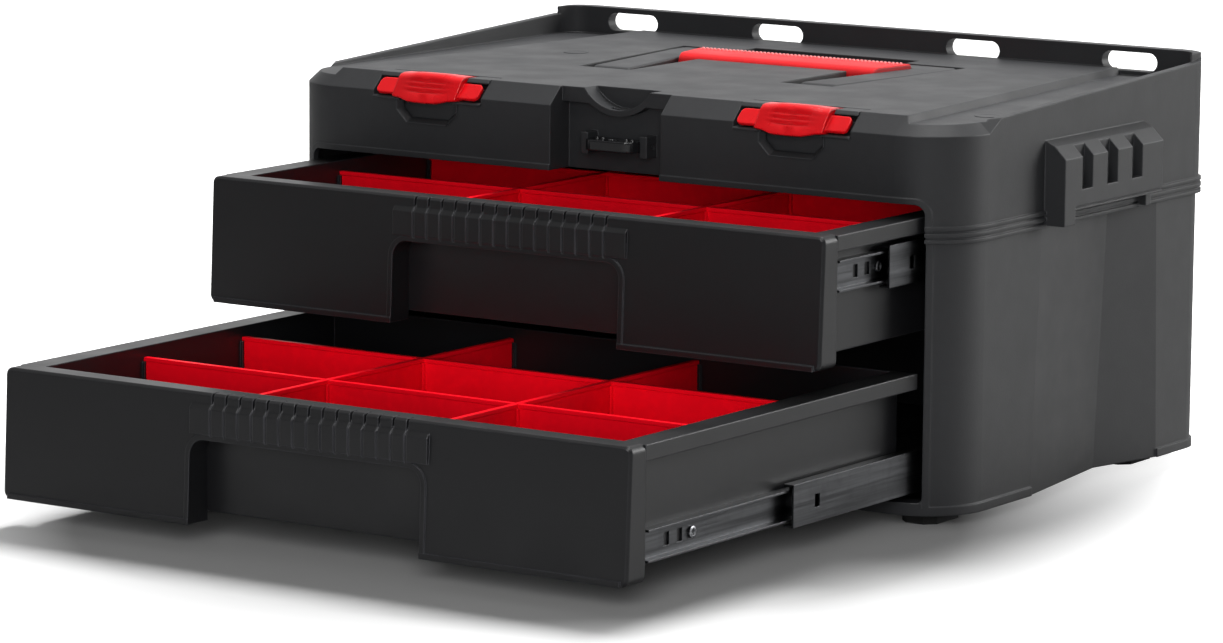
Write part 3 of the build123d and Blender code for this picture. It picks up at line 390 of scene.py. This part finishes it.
def start_block(low, high):
    """A box between two corners, open for editing."""
    all_clear()
    centre = [(a + b) / 2 for a, b in zip(low, high)]
    bpy.ops.mesh.primitive_cube_add(size=1.0, location=centre, scale=[b - a for a, b in zip(low, high)])
    bpy.ops.object.transform_apply(location=True, rotation=True, scale=True)
    bpy.ops.object.mode_set(mode="EDIT")


def start_disc(radius, height, centre, sides=32):
    """A short round bar, open for editing."""
    all_clear()
    bpy.ops.mesh.primitive_cylinder_add(vertices=sides, radius=radius, depth=height, location=centre)
    bpy.ops.object.transform_apply(location=True, rotation=True, scale=True)
    bpy.ops.object.mode_set(mode="EDIT")


def pick(kind, test):
    """Selects the faces or edges whose middle and direction pass the test."""
    mesh = bpy.context.active_object.data
    bpy.ops.mesh.select_mode(type=kind)
    bpy.ops.mesh.select_all(action="DESELECT")
    form = bmesh.from_edit_mesh(mesh)
    if kind == "FACE":
        for face in form.faces:
            face.select_set(bool(test(face.calc_center_median(), face.normal)))
    else:
        for edge in form.edges:
            first, last = (corner.co for corner in edge.verts)
            edge.select_set(bool(test((first + last) / 2, (last - first).normalized())))
    bmesh.update_edit_mesh(mesh)


def pick_top():
    """Selects the faces that look up."""
    pick("FACE", lambda place, facing: facing.z > ALONG)


def push(move, size=None, middle=None):
    """Extrudes the selected faces by move, then scales them about a point."""
    bpy.ops.mesh.extrude_region_move(TRANSFORM_OT_translate={"value": move})
    if size:
        bpy.ops.transform.resize(value=size, center_override=middle)


def settled(name, finish):
    """Ends the editing of a piece, smooths it and names it. A cutter gets no finish."""
    bpy.ops.mesh.select_all(action="SELECT")
    bpy.ops.mesh.normals_make_consistent(inside=False)
    bpy.ops.object.mode_set(mode="OBJECT")
    made = bpy.context.active_object
    made.name = made.data.name = name
    bpy.ops.object.shade_smooth_by_angle(angle=SMOOTH_ANGLE)
    if finish:
        made.data.materials.append(FINISHES[finish])
    return made


def modified(made, kind, **settings):
    """Adds a modifier to a piece and applies it."""
    all_clear()
    made.select_set(True)
    bpy.context.view_layer.objects.active = made
    step = made.modifiers.new(kind.lower(), kind)
    for key, value in settings.items():
        setattr(step, key, value)
    bpy.ops.object.modifier_apply(modifier=step.name)
    return made


def softened(made, width, segments=3):
    """Rounds the sharp edges of a piece."""
    modified(made, "BEVEL", width=width, segments=segments, limit_method="ANGLE", angle_limit=BEVEL_ANGLE)
    bpy.ops.object.shade_smooth_by_angle(angle=SMOOTH_ANGLE)
    return made


def carved(made, tool):
    """Cuts one piece out of another and removes the cutter."""
    modified(made, "BOOLEAN", operation="DIFFERENCE", solver="EXACT", object=tool)
    bpy.data.objects.remove(tool)
    return made


def loft(name, rings, finish):
    """A closed body drawn through rings of points, extruded ring by ring from a flat end face."""
    all_clear()
    bpy.ops.mesh.primitive_circle_add(
        vertices=len(rings[0]), radius=1.0, fill_type="NGON", location=(0, 0, 0))
    bpy.ops.object.mode_set(mode="EDIT")
    mesh = bpy.context.active_object.data
    before = [corner.co.copy() for corner in bmesh.from_edit_mesh(mesh).verts]
    for number, ring in enumerate(rings):
        if number:
            bpy.ops.mesh.extrude_region_move(TRANSFORM_OT_translate={"value": (0, 0, 0)})
        form = bmesh.from_edit_mesh(mesh)
        chosen = [corner for corner in form.verts if corner.select]
        order = [min(chosen, key=lambda corner: (corner.co - start).length).index for start in before]
        for index, start, target in zip(order, before, ring):
            bpy.ops.mesh.select_all(action="DESELECT")
            form = bmesh.from_edit_mesh(mesh)
            form.verts.ensure_lookup_table()
            form.verts[index].select_set(True)
            bmesh.update_edit_mesh(mesh)
            bpy.ops.transform.translate(value=Vector(target) - start)
        form = bmesh.from_edit_mesh(mesh)
        form.verts.ensure_lookup_table()
        for index in order:
            form.verts[index].select_set(True)
        form.select_flush(True)
        bmesh.update_edit_mesh(mesh)
        before = [Vector(target) for target in ring]
    return settled(name, finish)


def copied(made, name, move):
    """A copy of a piece with its own mesh, moved."""
    twin = made.copy()
    twin.data = made.data.copy()
    twin.name = twin.data.name = name
    bpy.context.collection.objects.link(twin)
    twin.data.transform(Matrix.Translation(move))
    return twin


def joined(made, others):
    """One piece from several."""
    all_clear()
    for other in (made, *others):
        other.select_set(True)
    bpy.context.view_layer.objects.active = made
    bpy.ops.object.join()
    return made


# ------------------------------------------------------------------ operators
class TOOLBOX_OT_finishes(bpy.types.Operator):
    """Gives every solid of the tool box its moulded or plated finish"""

    bl_idname = "toolbox.finishes"
    bl_label = "Finishes"

    def execute(self, context):
        look = context.scene.toolbox_finish
        self.mould(look)
        self.plate(look)
        for name, node in NODES.items():
            node.data.materials.clear()
            node.data.materials.append(finish_for(name))
        return {"FINISHED"}

    def mould(self, look):
        """The plastics and the rubber."""
        grain, edge = look.grain, look.edge
        # The edge lightening factor given to each finish paints partly wear and partly a highlight on its
        # edges, strongest on the drawer fronts and trays.
        FINISHES["shell"] = moulded_plastic(
            "charcoal_grain", look.charcoal, grain, edge, rough=(0.46, 0.58), wear_and_highlight=2.8)
        FINISHES["handle"] = moulded_plastic(
            "handle_grain", tinted(look.charcoal, 1.1), grain, edge, rough=(0.44, 0.56))
        FINISHES["front"] = moulded_plastic(
            "drawer_front_satin", look.black, grain, edge,
            rough=(0.34, 0.44), depth=0.02 * MM, wear_and_highlight=9.0, level=0.45)
        FINISHES["tray"] = moulded_plastic(
            "tray_satin", look.black, grain, edge,
            rough=(0.34, 0.44), depth=0.03 * MM, wear_and_highlight=7.0, level=0.50)
        FINISHES["divider"] = moulded_plastic(
            "divider_red_satin", look.divider_red, grain, edge * 0.8,
            rough=(0.42, 0.52), depth=0.02 * MM, wear_and_highlight=1.2, level=0.15)
        FINISHES["latch"] = moulded_plastic(
            "latch_red_gloss", look.red, grain, edge,
            rough=(0.24, 0.32), depth=0.01 * MM, wear_and_highlight=1.4, level=0.32)
        FINISHES["grip"] = moulded_plastic(
            "grip_red_soft", look.red, grain, edge * 1.4,
            rough=(0.50, 0.60), depth=0.05 * MM, wear_and_highlight=1.3, level=0.35, sheen=0.05)
        # The dots take a lighter pink than the grip: a painted highlight on each raised dot.
        FINISHES["dots"] = moulded_plastic(
            "grip_dots_painted_highlight", DOT_HIGHLIGHT_COLOUR, grain, edge, rough=(0.40, 0.50), depth=0.02 * MM, wear_and_highlight=1.2)
        FINISHES["gloss"] = moulded_plastic(
            "lock_black_gloss", GLOSS_COLOUR, grain, edge, rough=(0.06, 0.12), depth=0.0, wear_and_highlight=1.4)
        FINISHES["rubber"] = moulded_plastic(
            "foot_rubber", RUBBER_COLOUR, grain, edge, rough=(0.70, 0.85), depth=0.05 * MM)

    def plate(self, look):
        """The metals, from the dark rails to the brighter pins."""
        FINISHES["slide"] = plated_steel(
            "slide_dark_plate", look.steel, rough=(0.30, 0.48), run=(600.0, 9.0, 600.0))
        FINISHES["cage"] = plated_steel(
            "cage_plate", tinted(look.steel, 2.2), rough=(0.30, 0.42), run=(400.0, 20.0, 400.0))
        FINISHES["pin"] = plated_steel(
            "pin_plate", tinted(look.steel, 2.8), rough=(0.24, 0.36), run=(40.0, 700.0, 700.0))


class TOOLBOX_OT_handle(bpy.types.Operator):
    """Models the carrying handle: a rounded frame and a red grip with two rows of raised dots"""

    bl_idname = "toolbox.handle"
    bl_label = "Carrying handle"

    def execute(self, context):
        parts = context.scene.toolbox_parts
        self.model_frame(parts)
        self.model_grip(parts)
        return {"FINISHED"}

    def model_frame(self, parts):
        """A bar behind the grip with two arms, which splay towards their ends at the front."""
        low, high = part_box("handle_frame")
        grip_right, bar_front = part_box("handle_grip")[1][:2]
        arm_inner, arm_outer = grip_right + ARM_PLAY, high[0]
        end_inner, end_outer = arm_inner - ARM_SPLAY_INNER, arm_outer - ARM_SPLAY_OUTER
        narrowed = (end_outer - end_inner) / (arm_outer - arm_inner)
        shift = (end_inner + end_outer - arm_inner - arm_outer) / 2
        start_block((low[0], bar_front, low[2]), (high[0], high[1], high[2] + parts.frame_rise))
        for side in (-1, 1):
            bpy.ops.mesh.select_all(action="SELECT")
            bpy.ops.mesh.bisect(plane_co=(side * arm_inner, 0, 0), plane_no=(1, 0, 0))
        for side in (-1, 1):
            pick("FACE", lambda place, facing: facing.y < -ALONG and side * place.x > arm_inner)
            middle = (side * (arm_inner + arm_outer) / 2, low[1], 0.0)
            push((0.0, low[1] - bar_front, 0.0), (narrowed, 1, 1), middle)
            bpy.ops.transform.translate(value=(side * shift, 0.0, 0.0))
        pick("EDGE", lambda place, along: abs(along.x) > ALONG and place.y < low[1] + NEAR)
        bpy.ops.mesh.bevel(offset=ARM_END_ROUND, segments=5)
        pick("EDGE", lambda place, along: abs(along.z) > ALONG and place.y > high[1] - NEAR)
        bpy.ops.mesh.bevel(offset=BAR_CORNER_ROUND, segments=4)
        made = softened(settled("handle_frame_moulded", "handle"), FRAME_SOFTNESS)
        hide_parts("handle_frame")
        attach(made, "carrying_handle")

    def model_grip(self, parts):
        """The red bar in front, a little narrower and rounder at its front."""
        low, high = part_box("handle_grip")
        top = high[2] + GRIP_TO_DECK + parts.grip_rise
        start_block(low, (high[0], high[1], top))
        pick("FACE", lambda place, facing: facing.y < -ALONG)
        bpy.ops.transform.resize(value=(1.0 - GRIP_TAPER, 1, 1), center_override=(0.0, low[1], 0.0))
        pick("EDGE", lambda place, along: abs(along.x) > ALONG and place.y < low[1] + NEAR)
        bpy.ops.mesh.bevel(offset=GRIP_FRONT_ROUND, segments=6)
        pick("EDGE", lambda place, along: (
            abs(along.x) > ALONG and place.y > high[1] - NEAR and place.z > top - NEAR))
        bpy.ops.mesh.bevel(offset=GRIP_REAR_ROUND, segments=4)
        made = softened(settled("handle_grip_moulded", "grip"), GRIP_SOFTNESS)
        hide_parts("handle_grip")
        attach(made, "carrying_handle")
        for row, (back, radius) in enumerate(DOT_ROWS):
            self.dots(parts.grip_dots, row, (high[0] - DOT_MARGIN, high[1] - back, top), radius,
                      1.0 - GRIP_TAPER * back / (high[1] - low[1]))

    def dots(self, count, row, right_end, radius, shrink):
        """A row of raised dots along the top of the grip, shorter where the grip is narrower."""
        reach, y, top = right_end
        pitch = 2 * reach / (count - 1)
        inset = reach * (1.0 - shrink)
        start_disc(radius, DOT_SINK, (-reach, y, top), sides=8)
        pick_top()
        push((0.0, 0.0, DOT_CROWN), (DOT_CROWN_SHARE, DOT_CROWN_SHARE, 1.0), (-reach, y, top))
        dot = settled(f"grip_dots_{row}", "dots")
        copies = [copied(dot, "dot", (number * pitch * shrink + inset, 0.0, 0.0))
                  for number in range(1, count)]
        dot.data.transform(Matrix.Translation((inset, 0.0, 0.0)))
        dots = joined(dot, copies)
        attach(dots, "carrying_handle")


class TOOLBOX_OT_latches(bpy.types.Operator):
    """Models the two red latches, each with a grooved bulge, two flat tabs and its moulded surround"""

    bl_idname = "toolbox.latches"
    bl_label = "Latches"

    def execute(self, context):
        shell_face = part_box("top_shell")[0][1]
        for name in ("left", "right"):
            low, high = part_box(f"{name}_latch")
            self.origin = Vector(((low[0] + high[0]) / 2, shell_face, CHAMFER_LOW))
            latch = self.body()
            for hand in (-1, 1):
                flap = self.flap(hand)
                modified(latch, "BOOLEAN", operation="UNION", solver="EXACT", object=flap)
                bpy.data.objects.remove(flap)
            bpy.ops.object.shade_smooth_by_angle(angle=LATCH_SMOOTH_ANGLE)
            latch.name = latch.data.name = f"{name}_latch_moulded"
            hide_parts(f"{name}_latch")
            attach(latch, f"{name}_latch")
            strips = [self.bar("strip", STRIP_RING, STRIP_ACROSS, hand) for hand in (-1, 1)]
            ledges = [self.bar("ledge", LEDGE_RING, LEDGE_ACROSS, hand) for hand in (-1, 1)]
            surround = joined(strips[0], [strips[1], *ledges, self.rim()])
            surround.name = surround.data.name = f"{name}_latch_surround"
            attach(surround, "cabinet")
        return {"FINISHED"}

    def at(self, across, back, up):
        """A place in millimetres from the chamfer's lower edge on the latch's centre line."""
        return self.origin + Vector((across, back, up)) * MM

    def body(self):
        """The bulge in the middle, with its grooves."""
        return loft("latch_body", [self.section(*station) for station in LATCH_STATIONS], "latch")

    def section(self, across, bulge, groove):
        """One ring of the bulge."""
        def bulged(corner):
            return tuple(flat + bulge * more for flat, more in zip(*corner))

        top, foot = bulged(LATCH_TOP), bulged(LATCH_FOOT)
        front = []
        for start in GROOVE_STARTS:
            for further, depth in GROOVE_CORNERS:
                way = start + further
                front.append(tuple(first + (last - first) * way + cut * depth * groove
                                   for first, last, cut in zip(top, foot, GROOVE_DEPTH)))
        ring = (*map(bulged, LATCH_BACK), top, *front, foot, *map(bulged, LATCH_UNDER))
        return [self.at(across, back, up) for back, up in ring]

    def flap(self, hand):
        """A flat tab that lies on the chamfer beside the bulge, with rounded corners at its end."""
        slope = Vector(CHAMFER_RUN).normalized()
        inward = Vector((0.0, slope.z, -slope.y)) * FLAP_THICKNESS
        rings = []
        for across, lost in FLAP_STATIONS:
            low = slope * (FLAP_LOW + FLAP_RADIUS * lost)
            high = slope * (FLAP_HIGH - FLAP_RADIUS * lost)
            rings.append([self.at(hand * across, corner.y, corner.z)
                          for corner in (low, high, high + inward, low + inward)])
        return loft("latch_flap", rings, "latch")

    def bar(self, name, ring, ends, hand):
        """A moulded bar beside the bulge: the shell above a tab, or the lower edge of its pocket."""
        rings = [[self.at(hand * across, back, up) for back, up in ring] for across in ends]
        return loft(name, rings, "shell")

    def rim(self):
        """The sloping floor round the finger recess below the latch."""
        rings = [[self.at(outer, RIM_FRONT, outer_up), self.at(inner, RIM_FLOOR, inner_up),
                  self.at(outer, RIM_REAR, outer_up)]
                 for (outer, outer_up), (inner, inner_up) in zip(RIM_OUTER, RIM_INNER)]
        return loft("rim", rings, "shell")


class TOOLBOX_OT_lock(bpy.types.Operator):
    """Models the glossy lock tab with its rounded ends, padlock eye and studs"""

    bl_idname = "toolbox.lock"
    bl_label = "Lock tab"

    def execute(self, context):
        low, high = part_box("lock_tab")
        back = high[1] - TAB_AXIS_SETBACK
        start_block((low[0], low[1], low[2] + TAB_SKIN), (high[0], back + TAB_TAIL, high[2] - TAB_SKIN))
        pick("EDGE", lambda place, along: abs(along.z) > ALONG and place.y < low[1] + NEAR)
        bpy.ops.mesh.bevel(offset=TAB_CORNER_ROUND, segments=8)
        plate = settled("lock_tab_gloss", "gloss")
        start_disc(EYE_RADIUS, EYE_CUT, (0.0, back - EYE_SETBACK, (low[2] + high[2]) / 2))
        plate = softened(carved(plate, settled("cutter", None)), TAB_SOFTNESS, 4)
        studs = []
        for number, x in enumerate(STUD_PLACES):
            start_disc(STUD_RADIUS, STUD_HEIGHT, (x, back - STUD_SETBACK, high[2] - TAB_SKIN), sides=16)
            pick_top()
            push((0.0, 0.0, STUD_CROWN), (STUD_CROWN_SHARE, STUD_CROWN_SHARE, 1.0),
                 (x, back - STUD_SETBACK, high[2]))
            studs.append(settled(f"stud_{number}", "gloss"))
        made = joined(plate, studs)
        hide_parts("lock_tab")
        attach(made, "lock_tab")
        return {"FINISHED"}


class TOOLBOX_OT_screws(bpy.types.Operator):
    """Puts a cross-recessed pan head on each end of every slide rail"""

    bl_idname = "toolbox.screws"
    bl_label = "Slide screws"

    def execute(self, context):
        parts = context.scene.toolbox_parts
        head = self.model_head(parts.screw_radius, parts.screw_height)
        for drawer in ("upper", "lower"):
            for name, side in (("left", -1), ("right", 1)):
                self.screw_rail(head, f"{drawer}_{name}_drawer", f"{drawer}_drawer", side, 1)
                self.screw_rail(head, f"{drawer}_{name}_cabinet", "cabinet", side, -1)
        bpy.data.objects.remove(head)
        return {"FINISHED"}

    def model_head(self, radius, height):
        """A pan head with a cross recess, standing at the origin."""
        start_disc(radius, height, (0.0, 0.0, height / 2), sides=24)
        pick_top()
        push((0.0, 0.0, 0.0), (HEAD_CROWN_SHARE, HEAD_CROWN_SHARE, 1.0), (0.0, 0.0, height))
        bpy.ops.transform.translate(value=(0.0, 0.0, HEAD_CROWN * height))
        head = settled("screw_head", "pin")
        reach = radius * CROSS_REACH
        for x, y in ((CROSS_HALF, reach), (reach, CROSS_HALF)):
            start_block((-x, -y, CROSS_FLOOR * height), (x, y, 2 * height))
            head = carved(head, settled("cutter", None))
        return head

    def screw_rail(self, head, name, body, side, outward):
        """Two screws in the web of a rail, whose heads look away from what carries it."""
        low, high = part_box(f"{name}_rail")
        near, far = (low[0], high[0]) if side > 0 else (high[0], low[0])
        web = near + side * RAIL_METAL if outward > 0 else far - side * RAIL_METAL
        turned = Matrix.Rotation(math.radians(90.0) * side * outward, 4, "Y")
        screws = []
        for end, y in (("front", low[1] + SCREW_INSET), ("rear", high[1] - SCREW_INSET)):
            screw = copied(head, f"{name}_screw_{end}", (0.0, 0.0, 0.0))
            screw.data.transform(Matrix.Translation((web, y, (low[2] + high[2]) / 2)) @ turned)
            screws.append(screw)
        made = joined(screws[0], screws[1:])
        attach(made, body)


class TOOLBOX_OT_marks(bpy.types.Operator):
    """Adds the round moulding marks on the deck"""

    bl_idname = "toolbox.marks"
    bl_label = "Moulding marks"

    def execute(self, context):
        radius = context.scene.toolbox_parts.mark_radius
        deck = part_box("top_shell")[1][2]
        for number, (x, y, drop) in enumerate(DECK_MARKS):
            top = deck - drop
            start_disc(radius, MARK_HEIGHT, (x, y, top - MARK_SINK), sides=40)
            pick_top()
            bpy.ops.mesh.inset(thickness=MARK_RING, depth=0.0)
            bpy.ops.mesh.inset(thickness=MARK_SLOPE, depth=-MARK_DISH)
            made = settled(f"deck_mark_{number}", "shell")
            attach(made, "cabinet")
        return {"FINISHED"}


class TOOLBOX_OT_stage(bpy.types.Operator):
    """Sets the camera, the pale floor and the studio light"""

    bl_idname = "toolbox.stage"
    bl_label = "Stage"

    def execute(self, context):
        stage = context.scene.toolbox_stage
        self.stand_camera(context, stage)
        self.lay_floor(stage)
        self.light()
        context.scene.view_settings.view_transform = "Standard"
        return {"FINISHED"}

    def stand_camera(self, context, stage):
        """The camera, turned by azimuth, elevation and roll."""
        az, el, roll = stage.azimuth, stage.elevation, stage.roll
        ahead = Vector((-math.sin(az) * math.cos(el), math.cos(az) * math.cos(el), -math.sin(el)))
        level = Vector((math.cos(az), math.sin(az), 0.0))
        up = level.cross(ahead)
        right = level * math.cos(roll) + up * math.sin(roll)
        top = up * math.cos(roll) - level * math.sin(roll)
        bpy.ops.object.camera_add(location=stage.place)
        camera = bpy.context.active_object
        camera.name = "studio_camera"
        turned = Matrix((right, top, -ahead)).transposed().to_4x4()
        turned.translation = Vector(stage.place)
        camera.matrix_world = turned
        camera.data.lens = stage.lens
        camera.data.sensor_width = SENSOR
        camera.data.clip_end = VIEW_END
        context.scene.camera = camera

    def lay_floor(self, stage):
        """A matt floor, which the camera sees lighter the further it is from the box."""
        bpy.ops.mesh.primitive_plane_add(size=stage.floor_size, location=(0.0, 0.0, 0.0))
        floor = bpy.context.active_object
        floor.name = "studio_floor"
        paper = Finish("floor_paper")
        nodes, links = paper.nodes, paper.links
        seen = paper.node("ShaderNodeLightPath").outputs["Is Camera Ray"]
        away = paper.node("ShaderNodeVectorMath", {
            0: paper.place, 1: PAPER_MIDDLE}, operation="DISTANCE").outputs["Value"]
        tone = paper.blend(seen, PAPER_BOUNCE, PAPER_SEEN)
        lift = paper.node("ShaderNodeMath", {
            0: seen, 1: paper.spread(away, *PAPER_LIFT)}, operation="MULTIPLY").outputs["Value"]
        nodes.remove(paper.shader)
        flat = paper.node("ShaderNodeBsdfDiffuse", {"Color": tone})
        glow = paper.node("ShaderNodeEmission", {"Strength": lift})
        both = paper.node("ShaderNodeAddShader", {0: flat.outputs[0], 1: glow.outputs[0]})
        links.new(both.outputs[0], nodes["Material Output"].inputs["Surface"])
        floor.data.materials.append(paper.material)

    def light(self):
        """A soft world, which shines brighter towards the back in gloss, and the area lamps."""
        world = bpy.data.worlds.new("studio_world")
        bpy.context.scene.world = world
        world.use_nodes = True
        nodes, links = world.node_tree.nodes, world.node_tree.links
        sky = nodes["Background"]
        sky.inputs["Color"].default_value = (1.0, 1.0, 1.0, 1.0)
        path = nodes.new("ShaderNodeLightPath")
        parts = nodes.new("ShaderNodeSeparateXYZ")
        links.new(nodes.new("ShaderNodeTexCoord").outputs["Generated"], parts.inputs[0])

        def level(source, start, end, low, high):
            made = nodes.new("ShaderNodeMapRange")
            for key, value in (("From Min", start), ("From Max", end), ("To Min", low), ("To Max", high)):
                made.inputs[key].default_value = value
            links.new(source, made.inputs["Value"])
            return made.outputs["Result"]

        def choose(share, first, second):
            made = nodes.new("ShaderNodeMix")
            for socket, value in zip((0, 2, 3), (share, first, second)):
                if isinstance(value, float):
                    made.inputs[socket].default_value = value
                else:
                    links.new(value, made.inputs[socket])
            return made.outputs[0]

        soft = level(parts.outputs["Z"], *SKY_SOFT)
        shine = level(parts.outputs["Y"], *SKY_SHINE)
        strength = choose(path.outputs["Is Glossy Ray"], soft, shine)
        strength = choose(path.outputs["Is Camera Ray"], strength, 1.0)
        links.new(choose(path.outputs["Is Transmission Ray"], strength, 1.0), sky.inputs["Strength"])
        for name, place, size, power, shiny in LAMPS:
            bpy.ops.object.light_add(type="AREA", location=place)
            lamp = bpy.context.active_object
            lamp.name = name
            lamp.visible_glossy = shiny
            lamp.visible_diffuse = not shiny
            lamp.data.size = size
            lamp.data.energy = power
            lamp.rotation_euler = (LIGHT_AIM - Vector(place)).to_track_quat("-Z", "Y").to_euler()


class TOOLBOX_PT_panel(bpy.types.Panel):
    """Lists the steps that dress the tool box"""

    bl_label = "Tool Box"
    bl_idname = "TOOLBOX_PT_panel"
    bl_space_type = "VIEW_3D"
    bl_region_type = "UI"
    bl_category = "Tool Box"

    def draw(self, context):
        layout = self.layout
        for owner in (getattr(context.scene, key) for key in SETTINGS):
            box = layout.box()
            for key in owner.bl_rna.properties.keys():
                if key not in ("rna_type", "name"):
                    box.prop(owner, key)
        for step in STEPS:
            layout.operator(step.bl_idname)


STEPS = (
    TOOLBOX_OT_finishes, TOOLBOX_OT_handle, TOOLBOX_OT_latches, TOOLBOX_OT_lock, TOOLBOX_OT_screws,
    TOOLBOX_OT_marks, TOOLBOX_OT_stage)
SETTINGS = {"toolbox_finish": ToolBoxFinish, "toolbox_parts": ToolBoxParts, "toolbox_stage": ToolBoxStage}


def register():
    for group in SETTINGS.values():
        bpy.utils.register_class(group)
    for key, group in SETTINGS.items():
        setattr(bpy.types.Scene, key, bpy.props.PointerProperty(type=group))
    for step in STEPS:
        bpy.utils.register_class(step)
    bpy.utils.register_class(TOOLBOX_PT_panel)


def unregister():
    bpy.utils.unregister_class(TOOLBOX_PT_panel)
    for step in reversed(STEPS):
        bpy.utils.unregister_class(step)
    for key, group in SETTINGS.items():
        delattr(bpy.types.Scene, key)
        bpy.utils.unregister_class(group)


def main():
    register()
    for step in STEPS:
        bpy.ops.object.select_all(action="DESELECT")
        group, name = step.bl_idname.split(".")
        getattr(getattr(bpy.ops, group), name)()


if __name__ == "__main__":
    main()
